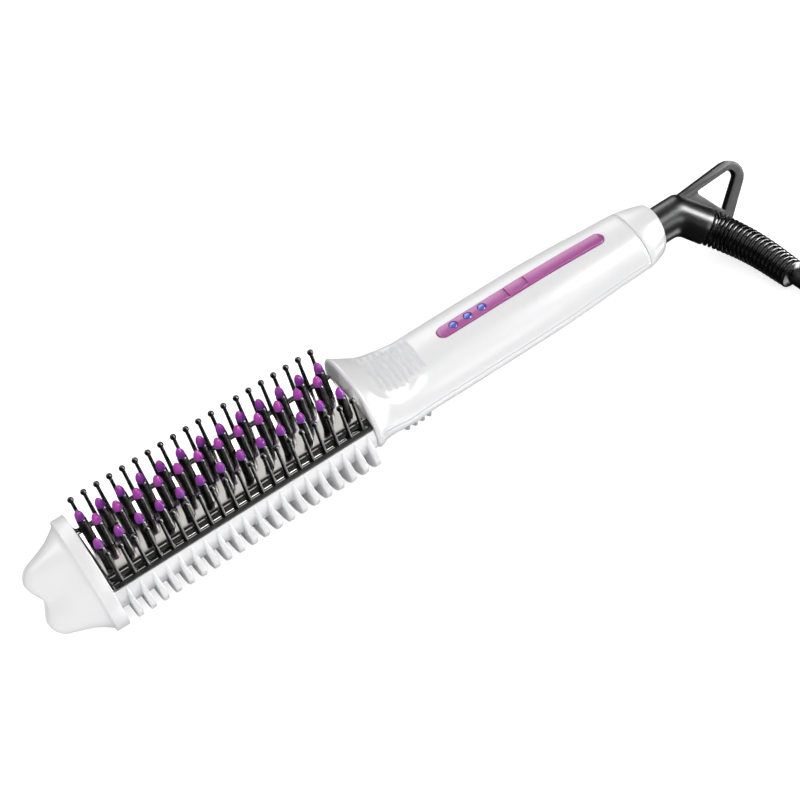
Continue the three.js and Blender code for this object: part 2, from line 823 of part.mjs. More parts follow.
// A post from the shell's inside down to the board, or up to the split
function post(radius, x, y, z0) {
  const column = rodZ(radius, z0, z0 + 3 * flangeRadius, x, y, 10);
  return column.intersect(handleForm([x - 6, x, x + 6], handleWall / 2));
}

function upperShell() {
  const boardPosts = boardScrewPlaces().map(([x, y]) =>
    post(postDiameter / 2, x, y, boardTopZ + gap),
  );
  const screwPosts = shellScrewPlaces.map(([x, y]) =>
    post(postDiameter / 2, x, y, splitZ + gap / 2),
  );
  const pilot = screwDiameter / 2 + gap;
  const pilots = [
    ...boardScrewPlaces().map(([x, y]) => rodZ(pilot, boardTopZ - 5, boardTopZ + 4, x, y, 8)),
    ...shellScrewPlaces.map(([x, y]) => rodZ(pilot, splitZ - 5, splitZ + 7, x, y, 8)),
  ];
  const slotWidth = stripWidth + 2 * gap;
  const slot = topRibbon(
    stripStartX - gap, stripStopX + gap, slotWidth, handleWall + 3 * cutMargin, -cutMargin,
  );
  const half = handleTube().intersect(halfSpace(true));
  const body = join([half, ...boardPosts, ...screwPosts]);
  return cut(body, [...grooves(), ...pilots, slot, leadPassage()]);
}

function lowerShell() {
  const headReach = screwHeadHeight + 1;
  const posts = shellScrewPlaces.map(([x, y]) => {
    const column = rodZ(postDiameter / 2 + 1, -flangeRadius, splitZ - gap / 2, x, y, 12);
    return column.intersect(handleForm([x - 7, x, x + 7], handleWall / 2));
  });
  const bores = shellScrewPlaces.flatMap(([x, y]) => {
    const under = handleUnder(x, y);
    return [
      rodZ(screwDiameter / 2 + gap, under - 3 * cutMargin, splitZ, x, y, 8),
      rodZ(screwHeadDiameter / 2 + gap, under - 3 * cutMargin, under + headReach, x, y, 12),
    ];
  });
  const nubs = spacedBy(firstNubX, nubPitch, nubCount).map((x) => {
    const under = handleMiddle(x) - handleHalf(x);
    return box(x, x + nubWidth, -nubLength / 2, nubLength / 2, under - nubHeight, under + 1.5);
  });
  const half = handleTube().intersect(halfSpace(false));
  return cut(join([half, ...posts, ...nubs]), [...bores, leadPassage()]);
}

function shellScrew([x, y]) {
  const headTop = handleUnder(x, y) + screwHeadHeight + 1 - gap;
  const head = rodZ(screwHeadDiameter / 2, headTop - screwHeadHeight, headTop, x, y, 12);
  return head.add(rodZ(screwDiameter / 2, headTop - 0.5, splitZ + 6, x, y, 8));
}

function endCap() {
  const outer = handleForm([...spaced(capStartX, capEndX + 1, 4), capEndX + capReach], 0);
  const innerX = capEndX - capWall;
  const inside = handleForm([capStartX - cutMargin, innerX], handleWall);
  const clipRoom = rodX(clipChamberDiameter / 2, clipX - gap, innerX, 0, stemZ, 16);
  const bore = rodX(stemDiameter / 2 + slideGap, capStartX, elbowStartX, 0, stemZ, 16);
  return cut(outer, [inside, clipRoom, bore, beyondSlant()]);
}

// Everything past the slanted end of the cap
function beyondSlant() {
  const reach = 2 * flangeRadius;
  const geometry = new THREE.BoxGeometry(reach, reach, reach);
  geometry.translate(reach / 2, 0, 0);
  geometry.rotateY(radians(capSlant));
  geometry.translate(capEndX, 0, stemZ);
  return solid(geometry);
}

// Control strip

const stripDrop = -stripProud;
const flangeDrop = handleWall + gap + insideSag(stripWidth / 2 + flangeMargin);
const buttonStopX = buttonStartX + buttonLength;

// How far the shell's inside falls from its crown to a given distance to the side
function insideSag(across) {
  const sags = spaced(stripStartX, stripStopX, 9).map((x) => {
    const high = handleHalf(x) - handleWall;
    const wide = handleHalf(x) * smoothBetween('ratio', x) - handleWall;
    return high * (1 - Math.sqrt(1 - (across / wide) ** 2));
  });
  return Math.max(...sags) + facetSag;
}

function ledXs() {
  return spacedBy(firstLedX, ledPitch, ledCount);
}

function lightStrip() {
  const inner = flangeDrop + stripFlange / 2;
  const flange = topRibbon(
    stripStartX - flangeMargin, stripStopX + flangeMargin, stripWidth + 2 * flangeMargin,
    flangeDrop + stripFlange, flangeDrop,
  );
  const front = topRibbon(
    stripStartX, buttonStartX - slideGap, stripWidth, inner, stripDrop, true, false,
  );
  const back = topRibbon(
    buttonStopX + slideGap, stripStopX, stripWidth, inner, stripDrop, false, true,
  );
  const middleX = (buttonStartX + buttonStopX) / 2;
  const hole = buttonStemWidth / 2 + slideGap;
  const z = handleTop(middleX);
  const opening = box(middleX - hole, middleX + hole, -hole, hole, z - 6, z);
  const windows = ledXs().map((x) =>
    rodZ(windowDiameter / 2 + gap, handleTop(x) - 2 * flangeDrop, z + 3, x, 0, 12),
  );
  return cut(join([flange, front, back]), [opening, ...windows]);
}

function powerButton() {
  const middleX = (buttonStartX + buttonStopX) / 2;
  const cap = topRibbon(
    buttonStartX, buttonStopX, stripWidth - 0.2, buttonThickness - buttonProud, -buttonProud,
    false, false,
  );
  const half = buttonStemWidth / 2;
  const stemTop = handleTop(middleX) - buttonThickness / 2;
  const stem = box(
    middleX - half, middleX + half, -half, half, plungerTopZ() + buttonTravel + gap, stemTop,
  );
  return cap.add(stem);
}

// Where the switch's plunger ends, so that the pressed button just reaches it
function plungerTopZ() {
  return boardTopZ + 5;
}

// Three round windows on a clear bar that lies under the strip's flange
function indicatorWindows() {
  const radius = windowDiameter / 2;
  const barTop = flangeDrop + stripFlange + gap;
  const bar = topRibbon(
    firstLedX - radius, firstLedX + (ledCount - 1) * ledPitch + radius, windowDiameter,
    barTop + windowBar, barTop,
  );
  const posts = ledXs().map((x) => {
    const high = handleTop(x) + stripProud;
    const low = handleTop(x) - barTop - windowBar / 2;
    const profile = [[0, low], [radius, low], [radius, high], [radius * 0.6, high + 0.3]];
    return turned([...profile, [0, high + 0.4]], x, 0, 8);
  });
  return join([bar, ...posts]);
}

function indicatorLed(x) {
  const radius = ledDiameter / 2;
  const top = handleTop(x) - flangeDrop - stripFlange - windowBar - 2 * gap;
  const low = boardTopZ;
  const profile = [[0, low], [radius + 0.3, low], [radius + 0.3, low + 1], [radius, low + 1]];
  return turned([...profile, [radius, top - 1], [radius * 0.6, top - 0.2], [0, top]], x, 0, 8);
}

// Circuit board and what it carries

function circuitBoard() {
  const half = boardWidth / 2;
  const board = box(boardStartX, boardEndX, -half, half, boardTopZ - boardThickness, boardTopZ);
  const holes = boardScrewPlaces().map(([x, y]) =>
    rodZ(screwDiameter / 2 + gap, boardTopZ - 3, boardTopZ + 1, x, y, 8),
  );
  return cut(board, holes);
}

const boardUnderZ = boardTopZ - boardThickness;

function boardScrew([x, y]) {
  const headTop = boardUnderZ - gap;
  const head = rodZ(screwHeadDiameter / 2, headTop - screwHeadHeight, headTop, x, y, 10);
  return head.add(rodZ(screwDiameter / 2, headTop - 0.5, boardTopZ + 3.6, x, y, 8));
}

function tactSwitch() {
  const x = (buttonStartX + buttonStopX) / 2;
  const half = 3;
  const bodyTop = plungerTopZ() - 1.4;
  const body = box(x - half, x + half, -half, half, boardTopZ + gap, bodyTop);
  return body.add(rodZ(1.7, bodyTop - 0.2, plungerTopZ(), x, 0, 12));
}

function filmCapacitor() {
  const [x, top] = [boardStartX + boardLength / 4, boardUnderZ - gap];
  return box(x, x + 13, -6.5, -0.5, top - 9.5, top);
}

function powerTriac() {
  const top = boardUnderZ - gap;
  const [x0, x1] = [boardEndX - 19, boardEndX - 9];
  const tab = box(x0, x1, -6.5, -5.2, top - 10, top - 7);
  return join([tab, box(x0, x1, -6.5, -2, top - 7.5, top)]);
}

// Swivel contacts

const clipX = capEndX - capWall - slideGap - clipThickness;
const stemEndX = clipX - stemTail;
const blockX1 = stemEndX - 3;
const blockX0 = blockX1 - 4;

function contactBlock() {
  const half = 8;
  return box(blockX0, blockX1, -half, half, stemZ - half, stemZ + half).intersect(
    handleForm([blockX0 - 2, handleEndX, blockX1 + 8], handleWall + gap),
  );
}

const contactX = stemEndX - gap - contactThickness;

function contactFinger(z) {
  return box(blockX1, contactX - gap, -1, 1, z - 0.6, z + 0.6);
}

function contactPin() {
  return rodX(1.6, contactX, stemEndX - gap, 0, stemZ, 12);
}

function contactRing() {
  const [x0, x1] = [contactX, stemEndX - gap];
  const [inner, outer] = [contactRingRadius - 1.1, contactRingRadius + 1.1];
  const ring = rodX(outer, x0, x1, 0, stemZ, 14);
  return cut(ring, [rodX(inner, x0 - cutMargin, x1 + cutMargin, 0, stemZ, 14)]);
}

function mainsLead(side) {
  const boardEnd = boardEndX + gap;
  const y = side * 3.4;
  const z = boardTopZ - boardThickness / 2;
  const endX = blockX0 - gap;
  return lead(
    [
      v3(boardEnd, y, z),
      v3(boardEnd + 4, y, z - 0.3),
      v3(endX - 3, y, stemZ + 0.4),
      v3(endX, y, stemZ),
    ],
    leadDiameter,
    4,
    6,
  );
}

// Swivel elbow with its hanging loop

const dip = radians(elbowDip);
const outward = v3(0, -Math.cos(dip), -Math.sin(dip)); // square to the stem, in the elbow's plane
const turn = radians(elbowTurn);

function inElbowPlane(x, out) {
  return v3(x, 0, stemZ).addScaledVector(outward, out);
}

function elbowStations() {
  const stations = [{ point: inElbowPlane(stemEndX, 0), tangent: v3(1, 0, 0) }];
  const steps = 6;
  for (let i = 0; i <= steps; i += 1) {
    const angle = (turn * i) / steps;
    const x = elbowStartX + elbowRadius * Math.sin(angle);
    const out = elbowRadius * (1 - Math.cos(angle));
    const tangent = v3(Math.cos(angle), 0, 0).addScaledVector(outward, Math.sin(angle));
    stations.push({ point: inElbowPlane(x, out), tangent });
  }
  const last = stations[stations.length - 1];
  const point = last.point.clone().addScaledVector(last.tangent, elbowLeg);
  stations.push({ point, tangent: last.tangent });
  return stations;
}

function elbowEnd() {
  const stations = elbowStations();
  return stations[stations.length - 1];
}

// The loop's outlines, as x past the start of the bend and the reach out from the stem's axis
const loopOutline = [
  [4.5, -6.2], [18.4, -6.6], [33.8, -8.1], [37, -7.8], [39.4, -6.2], [40.4, -3.8], [40.4, -1.4],
  [39.8, 1.8], [38.2, 4.1], [27.5, 13.3], [25.6, 13.3], [21.5, 9.5], [14, 6], [4.5, 0],
];
const loopHole = [
  [19.2, -4.4], [33.5, -4.9], [36.8, -3.6], [37.4, -1.2], [27, 8.4], [25, 8.4], [18.4, -1.8],
];

function loopPlate() {
  const shape = new THREE.Shape(loopOutline.map(([x, out]) => new THREE.Vector2(x, out)));
  shape.holes.push(new THREE.Path(loopHole.map(([x, out]) => new THREE.Vector2(x, out))));
  const geometry = new THREE.ExtrudeGeometry(shape, { depth: loopThickness, bevelEnabled: false });
  geometry.translate(0, 0, -loopThickness / 2);
  const lean = radians(loopDip);
  const out = v3(0, -Math.cos(lean), -Math.sin(lean));
  const under = v3(0, Math.sin(lean), -Math.cos(lean));
  geometry.applyMatrix4(new THREE.Matrix4().makeBasis(v3(1, 0, 0), out, under));
  geometry.translate(elbowStartX, 0, stemZ);
  return cut(solid(geometry), [bootRoom()]);
}

// Room round the root of the strain relief
function bootRoom() {
  const { point, tangent } = elbowEnd();
  const radius = bootRootDiameter / 2 + gap;
  const geometry = new THREE.CylinderGeometry(radius, radius, bootRootDiameter, 16);
  geometry.translate(0, bootRootDiameter / 2, 0);
  const facing = new THREE.Quaternion().setFromUnitVectors(v3(0, 1, 0), tangent);
  geometry.applyQuaternion(facing);
  geometry.translate(point.x, point.y, point.z);
  return solid(geometry);
}

function swivelElbow() {
  const radius = stemDiameter / 2;
  const stations = elbowStations().map((s) => ({ ...s, radius }));
  const tube = solid(ringedTube(stations, 14));
  const [x0, x1] = [clipX - gap, clipX + clipThickness + gap];
  const groove = cut(rodX(radius + 1, x0, x1, 0, stemZ, 20), [
    rodX(radius - clipGrooveDepth, x0 - 1, x1 + 1, 0, stemZ, 20),
  ]);
  return cut(join([tube, loopPlate()]), [groove]);
}

// The spring clip that keeps the stem in the end cap
function retainingClip() {
  const radius = clipDiameter / 2;
  const inner = stemDiameter / 2 - clipGrooveDepth + gap;
  const [x0, x1] = [clipX, clipX + clipThickness];
  const half = clipSlot / 2;
  return cut(rodX(radius, x0, x1, 0, stemZ, 16), [
    rodX(inner, x0 - 1, x1 + 1, 0, stemZ, 16),
    box(x0 - 1, x1 + 1, -half, half, stemZ - 2 * radius, stemZ),
  ]);
}

// Strain relief: a ribbed taper that bends down to the table

const bootRoute = (() => {
  const end = elbowEnd();
  const start = end.point.clone().addScaledVector(end.tangent, gap);
  return [
    start,
    start.clone().addScaledVector(end.tangent, 4),
    start.clone().addScaledVector(end.tangent, 8),
    v3(start.x + 7.7, start.y - 16.9, 9.6),
    v3(start.x + 9.8, start.y - 25.7, 8.6),
    v3(start.x + 11.1, start.y - 33.8, 7.9),
    v3(start.x + 12.3, start.y - 41.9, 7.3),
  ];
})();
const bootPath = new THREE.CatmullRomCurve3(bootRoute, false, 'centripetal');

function strainRelief() {
  const stations = [];
  const rows = 2 * bootRibs;
  for (let i = 0; i <= rows; i += 1) {
    const share = i / rows;
    const full = THREE.MathUtils.lerp(bootRootDiameter, bootTipDiameter, share) / 2;
    const radius = i % 2 === 0 ? full * bootRibShare : full;
    stations.push({
      point: bootPath.getPointAt(share),
      tangent: bootPath.getTangentAt(share),
      radius,
    });
  }
  return ringedTube(stations, 8);
}

// Mains lead: down from the strain relief, into its coil, and on to the plug

const bootEnd = bootRoute[bootRoute.length - 1];
const coilCentre = coilPlace.clone().add(bootEnd);
const plugTail = plugPlace.clone().add(coilCentre);
const coilLift = tieThickness + gap; // the coil lies on its tie
const coilLowZ = cordDiameter / 2 + coilLift;
const coilStartAngle = -Math.PI / 2;

function coilPoint(turns) {
  const perLayer = coilTurns / coilLayers;
  const halfSpan = (perLayer * coilPitch) / 2;
  const layerShare = turns / perLayer;
  const inward = layerShare <= 1 ? layerShare : 2 - layerShare;
  const radius = coilMidRadius + halfSpan - inward * 2 * halfSpan;
  const climb = THREE.MathUtils.clamp((turns - perLayer + 0.25) / 0.5, 0, 1);
  const z = coilLowZ + coilPitch * climb;
  const angle = coilStartAngle + turns * 2 * Math.PI;
  return v3(coilCentre.x + radius * Math.cos(angle), coilCentre.y + radius * Math.sin(angle), z);
}

function coilLine(stepsPerTurn) {
  const steps = Math.round(coilTurns * stepsPerTurn);
  return Array.from({ length: steps + 1 }, (_, i) => coilPoint((coilTurns * i) / steps));
}

function coilTangent(turns) {
  const step = 0.01;
  const from = coilPoint(Math.max(turns - step, 0));
  const to = coilPoint(Math.min(turns + step, coilTurns));
  return to.sub(from).normalize();
}

function cordCoil() {
  const steps = Math.round(coilTurns * 24);
  const radius = cordDiameter / 2;
  const wound = Array.from({ length: steps + 1 }, (_, i) => {
    const turns = (coilTurns * i) / steps;
    return { point: coilPoint(turns), tangent: coilTangent(turns), radius };
  });
  return ringedTube(
    [
      { point: coilStart, tangent: startHeading, radius },
      ...wound,
      { point: coilEnd, tangent: endHeading, radius },
    ],
    6,
  );
}

// The coil's two ends run straight for one diameter
const startHeading = coilTangent(0);
const endHeading = coilTangent(coilTurns);
const coilStart = coilPoint(0).addScaledVector(startHeading, -cordDiameter);
const coilEnd = coilPoint(coilTurns).addScaledVector(endHeading, cordDiameter);

const cordRoute = [
  bootEnd.clone().addScaledVector(bootPath.getTangentAt(1), gap),
  v3(bootEnd.x + 1.2, bootEnd.y - 6.2, 6.4),
  v3(bootEnd.x + 4.2, bootEnd.y - 14.9, 5),
  v3(bootEnd.x + 10.2, bootEnd.y - 22.6, 4.3),
  v3(bootEnd.x + 18.4, bootEnd.y - 27.9, 4.2),
  v3(bootEnd.x + 28.4, bootEnd.y - 30.4, 4.4),
  coilStart.clone().addScaledVector(startHeading, -gap - 5 * cordDiameter),
  coilStart.clone().addScaledVector(startHeading, -gap - 2 * cordDiameter),
  coilStart.clone().addScaledVector(startHeading, -gap),
];

// Off the top layer, down beside the coil, and round to the plug
const tailBend = 4 * cordDiameter; // radius of the turn up to the plug
const tailDown = coilEnd.clone().addScaledVector(endHeading, 33).setZ(5.4);
const tailRoute = [
  coilEnd.clone().addScaledVector(endHeading, gap),
  coilEnd.clone().addScaledVector(endHeading, 9).setZ(12),
  coilEnd.clone().addScaledVector(endHeading, 16).setZ(10.4),
  coilEnd.clone().addScaledVector(endHeading, 24).setZ(7.9),
  tailDown,
  v3(plugTail.x - tailBend, tailDown.y, 4.2),
  v3(plugTail.x - tailBend * 0.5, tailDown.y + tailBend * 0.134, 4.3),
  v3(plugTail.x - tailBend * 0.134, tailDown.y + tailBend * 0.5, 5.2),
  v3(plugTail.x, tailDown.y + tailBend, 7),
  v3(plugTail.x, plugTail.y - gap - cordDiameter, plugCordZ),
  v3(plugTail.x, plugTail.y - gap, plugCordZ),
];

// The least clear space between one turn of the coil and another
function leastCoilGap() {
  const stepsPerTurn = 48;
  const line = coilLine(stepsPerTurn);
  let least = Infinity;
  line.forEach((point, i) => {
    for (let j = i + stepsPerTurn / 2; j < line.length; j += 1) {
      least = Math.min(least, point.distanceTo(line[j]));
    }
  });
  return least - cordDiameter;
}
console.log(`least gap between turns of the coil: ${leastCoilGap().toFixed(2)} mm`);

function cordTie() {
  const angle = radians(tieAngle);
  const halfSpan = (coilTurns / coilLayers) * (coilPitch / 2);
  const reach = halfSpan + cordDiameter / 2 + 0.5;
  const high = coilLowZ + (coilLayers - 1) * coilPitch + cordDiameter / 2 + gap;
  const frame = (out, low, top) => {
    const geometry = new THREE.BoxGeometry(2 * out, out === reach ? tieWidth * 2 : tieWidth, top - low);
    geometry.translate(coilMidRadius, 0, (top + low) / 2);
    geometry.rotateZ(angle);
    geometry.translate(coilCentre.x, coilCentre.y, 0);
    return solid(geometry);
  };
  const outside = frame(reach + tieThickness, 0, high + tieThickness);
  return cut(outside, [frame(reach, tieThickness, high)]);
}

// Plug: lies on its back with its pins up, and the lead comes in at the flat pins' end

const plugX = plugTail.x;
const plugY0 = plugTail.y + gripLength + gap;
const plugPinY = plugY0 + 11;

function plugOutline(inset) {
  const [half, length, corner] = [plugWidth / 2 - inset, plugLength - 2 * inset, 12 - inset];
  const shape = new THREE.Shape();
  shape.moveTo(-half + 3, 0);
  shape.lineTo(half - 3, 0);
  shape.lineTo(half, 3);
  shape.lineTo(half, length - corner);
  shape.absarc(half - corner, length - corner, corner, 0, Math.PI / 2, false);
  shape.lineTo(-half + corner, length);
  shape.absarc(-half + corner, length - corner, corner, Math.PI / 2, Math.PI, false);
  shape.lineTo(-half, 3);
  return shape;
}

function plugBody() {
  const slab = (inset, z0, z1) => {
    const options = { depth: z1 - z0, bevelEnabled: false, curveSegments: 5 };
    const geometry = new THREE.ExtrudeGeometry(plugOutline(inset), options);
    geometry.translate(plugX, plugY0 + inset, z0);
    return solid(geometry);
  };
  const body = join([slab(2.5, 0, plugHeight - 5), slab(0, plugHeight - 5.5, plugHeight)]);
  const pockets = flatPins().map(([x, y]) => pinBox(x, y, flatPinSize, gap));
  const earth = pinBox(plugX, plugPinY + pinSpacing, earthPinSize, gap);
  return cut(body, [...pockets, earth, fuseBox(gap, 2)]);
}

function flatPins() {
  return [-1, 1].map((side) => [plugX + (side * pinSpacing) / 2, plugPinY]);
}

function pinBox(x, y, [wide, deep, length], grow = 0) {
  const [halfWide, halfDeep] = [wide / 2 + grow, deep / 2 + grow];
  const z0 = plugHeight - pinRoot - grow;
  return box(x - halfWide, x + halfWide, y - halfDeep, y + halfDeep, z0, plugHeight + length);
}

const fuseY = plugPinY + pinSpacing / 2 - 0.6;
const fuseZ = plugHeight - 5;

function fuseBox(grow, rise) {
  const [halfWide, halfDeep] = [13.5 + grow, 4 + grow];
  const z0 = fuseZ - fuseDiameter / 2 - 1 - grow;
  const [y0, y1] = [fuseY - halfDeep, fuseY + halfDeep];
  return box(plugX - halfWide, plugX + halfWide, y0, y1, z0, plugHeight + rise);
}

// A tray that holds the fuse from above, open underneath
function fuseCarrier() {
  const half = fuseDiameter / 2 + gap;
  const reach = fuseLength / 2 + gap;
  const tray = rodX(half, plugX - reach, plugX + reach, fuseY, fuseZ, 10);
  const [y0, y1] = [fuseY - half + gap, fuseY + half - gap];
  const under = box(plugX - reach, plugX + reach, y0, y1, 0, fuseZ);
  return cut(fuseBox(0, 0), [tray, under]);
}

function plugFuse() {
  const reach = fuseLength / 2;
  return rodX(fuseDiameter / 2, plugX - reach, plugX + reach, fuseY, fuseZ, 10);
}

function plugGrip() {
  const [y0, y1] = [plugTail.y, plugTail.y + gripLength];
  const profile = [
    [0, y0],
    [5, y0],
    [6.5, y1 - 3],
    [7.5, y1],
    [0, y1],
  ];
  const points = profile.map(([radius, y]) => new THREE.Vector2(radius, y));
  const geometry = new THREE.LatheGeometry(points, 14);
  geometry.translate(plugX, 0, plugCordZ);
  return geometry;
}

// Assembly

function paint(colour, roughness, metalness = 0) {
  return new THREE.MeshStandardMaterial({ color: colour, roughness, metalness });
}

const white = paint('#f2f2f3', 0.28);
const black = paint('#141414', 0.32);
const tipPurple = paint('#9a3ba8', 0.45);
const stripPurple = paint('#b4509f', 0.22);
const bluePlastic = paint('#5a68c8', 0.25);
const aluminium = paint('#c9c6bf', 0.35, 0.9);
const ceramic = paint('#8d8a84', 0.6);
const amberFilm = paint('#b5761e', 0.4);
const mica = paint('#a89878', 0.7);
const boardGreen = paint('#1f6b3c', 0.5);
const brass = paint('#c9a34e', 0.3, 0.9);
const steel = paint('#b9bcc0', 0.3, 0.9);
const redWire = paint('#a83226', 0.5);
const blueWire = paint('#2b5fae', 0.5);
const rubber = paint('#121212', 0.5);
const beige = paint('#d8cfae', 0.5);
const greyPlastic = paint('#5f6266', 0.5);

const comb = new THREE.Group();

function place(name, shape, material) {
  const geometry = shape.isBufferGeometry ? shape : geometryOf(shape);
  const mesh = new THREE.Mesh(geometry, material);
  mesh.name = name;
  comb.add(mesh);
}

const outerXs = spacedBy(firstBristleX, bristlePitch, outerBristles);
const middleXs = spacedBy(firstBristleX + bristlePitch / 2, bristlePitch, middleBristles);
const rows = [
  ['front', outerXs, -bristleRowY, headAxisZ + outerTipZ],
  ['middle', middleXs, 0, headAxisZ + middleTipZ],
  ['back', outerXs, bristleRowY, headAxisZ + outerTipZ],
];

place('nose_cap', noseCap(), white);
place('head_shell', headShell(), white);
place('heat_plate', heatPlate(), aluminium);
place('comb_strip_front', combStrip(-1), black);
place('comb_strip_back', combStrip(1), black);
for (const [name, xs, y, topZ] of rows) {
  place(`bristle_row_${name}`, bristleRow(xs, y, topZ), black);
  place(`bristle_tips_${name}`, bristleTips(xs, y, topZ), tipPurple);
}
place('heat_shield', heatShield(), mica);
place('heater_sleeve', heaterSleeve(), amberFilm);
place('electrode_lower', electrode(lowerElectrodeZ), aluminium);
place('electrode_upper', electrode(upperElectrodeZ), aluminium);
for (let i = 0; i < stoneCount; i += 1) {
  place(`ceramic_stone_${i + 1}`, ceramicStone(i), ceramic);
}
place('thermal_fuse', thermalFuse(), steel);
place('thermistor', thermistor(), ceramic);
place('heater_lead_neutral', heaterLead(-1, lowerElectrodeZ + electrodeThickness / 2), blueWire);
place('heater_lead_live', heaterLead(1, upperElectrodeZ + electrodeThickness / 2), redWire);
place('upper_shell', upperShell(), white);
place('lower_shell', lowerShell(), white);
place('end_cap', endCap(), white);
shellScrewPlaces.forEach((spot, i) => place(`shell_screw_${i + 1}`, shellScrew(spot), steel));
place('light_strip', lightStrip(), stripPurple);
place('power_button', powerButton(), stripPurple);
place('indicator_windows', indicatorWindows(), bluePlastic);
ledXs().forEach((x, i) => place(`indicator_led_${i + 1}`, indicatorLed(x), bluePlastic));
place('circuit_board', circuitBoard(), boardGreen);
boardScrewPlaces().forEach((spot, i) => place(`board_screw_${i + 1}`, boardScrew(spot), steel));
place('tact_switch', tactSwitch(), greyPlastic);
place('film_capacitor', filmCapacitor(), beige);
place('power_triac', powerTriac(), black);
place('mains_lead_neutral', mainsLead(-1), blueWire);
place('mains_lead_live', mainsLead(1), redWire);
place('contact_block', contactBlock(), beige);
place('contact_finger_centre', contactFinger(stemZ), brass);
place('contact_finger_outer', contactFinger(stemZ + contactRingRadius), brass);
place('contact_pin', contactPin(), brass);
place('contact_ring', contactRing(), brass);
place('retaining_clip', retainingClip(), steel);
place('swivel_elbow', swivelElbow(), black);
place('strain_relief', strainRelief(), rubber);
place('power_cord', lead(cordRoute, cordDiameter, 14, cordSides), rubber);
place('cord_coil', cordCoil(), rubber);
place('cord_tail', lead(tailRoute, cordDiameter, 14, cordSides), rubber);
place('cord_tie', cordTie(), greyPlastic);
place('plug_grip', plugGrip(), rubber);
place('plug_body', plugBody(), black);
place('plug_fuse_carrier', fuseCarrier(), greyPlastic);
place('plug_fuse', plugFuse(), ceramic);
const [leftPin, rightPin] = flatPins();
place('plug_live_pin', pinBox(...leftPin, flatPinSize), brass);
place('plug_neutral_pin', pinBox(...rightPin, flatPinSize), brass);
place('plug_earth_pin', pinBox(plugX, plugPinY + pinSpacing, earthPinSize), greyPlastic);

export default comb;
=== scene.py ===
"""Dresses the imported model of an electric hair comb: moulded shells, bristles, control strip,
swivel and lead, with their finishes, a plain studio and the camera."""

import math

import bmesh
import bpy
from mathutils import Matrix, Vector


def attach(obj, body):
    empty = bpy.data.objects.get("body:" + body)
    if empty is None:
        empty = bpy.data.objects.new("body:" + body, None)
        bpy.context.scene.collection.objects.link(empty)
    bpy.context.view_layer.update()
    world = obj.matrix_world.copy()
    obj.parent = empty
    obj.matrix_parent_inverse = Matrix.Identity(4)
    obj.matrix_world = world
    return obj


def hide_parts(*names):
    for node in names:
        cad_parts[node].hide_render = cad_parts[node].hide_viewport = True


bl_info = {
    "name": "Electric Hair Comb",
    "version": (1, 0, 0),
    "blender": (4, 5, 0),
    "location": "View3D > Sidebar > Hair Comb",
    "description": "Builds the looks of an electric hair comb round its packed solids",
    "category": "Object",
}

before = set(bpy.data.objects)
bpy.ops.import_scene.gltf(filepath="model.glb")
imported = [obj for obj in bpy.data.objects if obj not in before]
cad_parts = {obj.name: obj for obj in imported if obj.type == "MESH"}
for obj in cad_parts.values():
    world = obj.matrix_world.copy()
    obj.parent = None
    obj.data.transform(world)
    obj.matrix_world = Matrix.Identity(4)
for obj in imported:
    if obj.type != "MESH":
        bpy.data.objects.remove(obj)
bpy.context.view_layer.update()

MM = 0.001

# The head's axis above the table, and the places along the comb that the pieces share
HEAD_Z = 25.3
STRIP_X = (4.3, 126.2)
FIRST_PIN_X = 8.5
PINS = 20
NECK_X = 126.5
HANDLE_END_X = 267.0
CAP_X = (267.3, 278.0)
CAP_SLANT = math.tan(math.radians(12))
STEM_Z = 21.0

# Stations along the handle: x, middle height, half height, width over height
HANDLE = [
    (NECK_X, 27.75, 21.25, 1.035),
    (NECK_X + 1.3, 27.75, 21.15, 1.035),
    (NECK_X + 2.9, 27.3, 20.3, 1.035),
    (NECK_X + 5.3, 27.1, 19.2, 1.045),
    (NECK_X + 9.4, 25.7, 17.5, 1.11),
    (NECK_X + 14.4, 24.2, 16, 1.215),
    (NECK_X + 21.4, 23, 14.6, 1.315),
    (NECK_X + 29.9, 22.4, 13.65, 1.36),
    (NECK_X + 42.9, 22.4, 13.7, 1.36),
    (NECK_X + 90.9, 22.4, 13.55, 1.36),
    (HANDLE_END_X - 29.6, 22.3, 13.05, 1.35),
    (HANDLE_END_X - 15.6, 22.1, 12.5, 1.33),
    (HANDLE_END_X, 21.8, 12.1, 1.29),
    (HANDLE_END_X + 5.35, 21.6, 11.8, 1.2),
    (CAP_X[1] + 1, 21.3, 11, 1.03),
    (CAP_X[1] + 5.48, STEM_Z, 10.3, 1.0),
]

# Where the lead goes: out of the strain relief, into its coil, and on to the plug
BOOT_POINTS = [
    (300.62, -9.56, 13.53), (302.4, -11.7, 12.2), (304.6, -15.8, 10.9), (307.2, -22.5, 9.9),
    (309.2, -29.5, 9.2), (310.9, -37.5, 8.4), (312, -45, 7.8), (312.92, -51.46, 7.3),
]
CORD_POINTS = [
    (312.96, -51.75, 7.28), (314.12, -57.66, 6.4), (317.12, -66.36, 5), (323.12, -74.06, 4.3),
    (331.32, -79.36, 4.2), (341.32, -81.86, 4.4), (361.79, -83.91, 4.8), (382.75, -82.73, 4.8),
    (396.73, -81.94, 4.8),
]
TAIL_POINTS = [
    (411.31, -81.94, 12.5), (420, -82.43, 12), (426.98, -82.82, 10.4), (434.97, -83.27, 7.9),
    (443.96, -83.78, 5.4), (457.32, -83.78, 4.2), (471.32, -80.02, 4.3), (481.57, -69.78, 5.2),
    (485.32, -55.78, 7), (485.32, -46.36, 9), (485.32, -39.36, 9),
]
COIL_CENTRE = (404.02, -32.06)
COIL_MID_RADIUS = 36.0
COIL_PITCH = 7.7
COIL_TURNS = 7
COIL_LOW_Z = 4.8
PLUG_X = 485.32
PLUG_TAIL_Y = -39.06
PLUG_Y = PLUG_TAIL_Y + 12.3
PIN_ROW_Y = PLUG_Y + 11
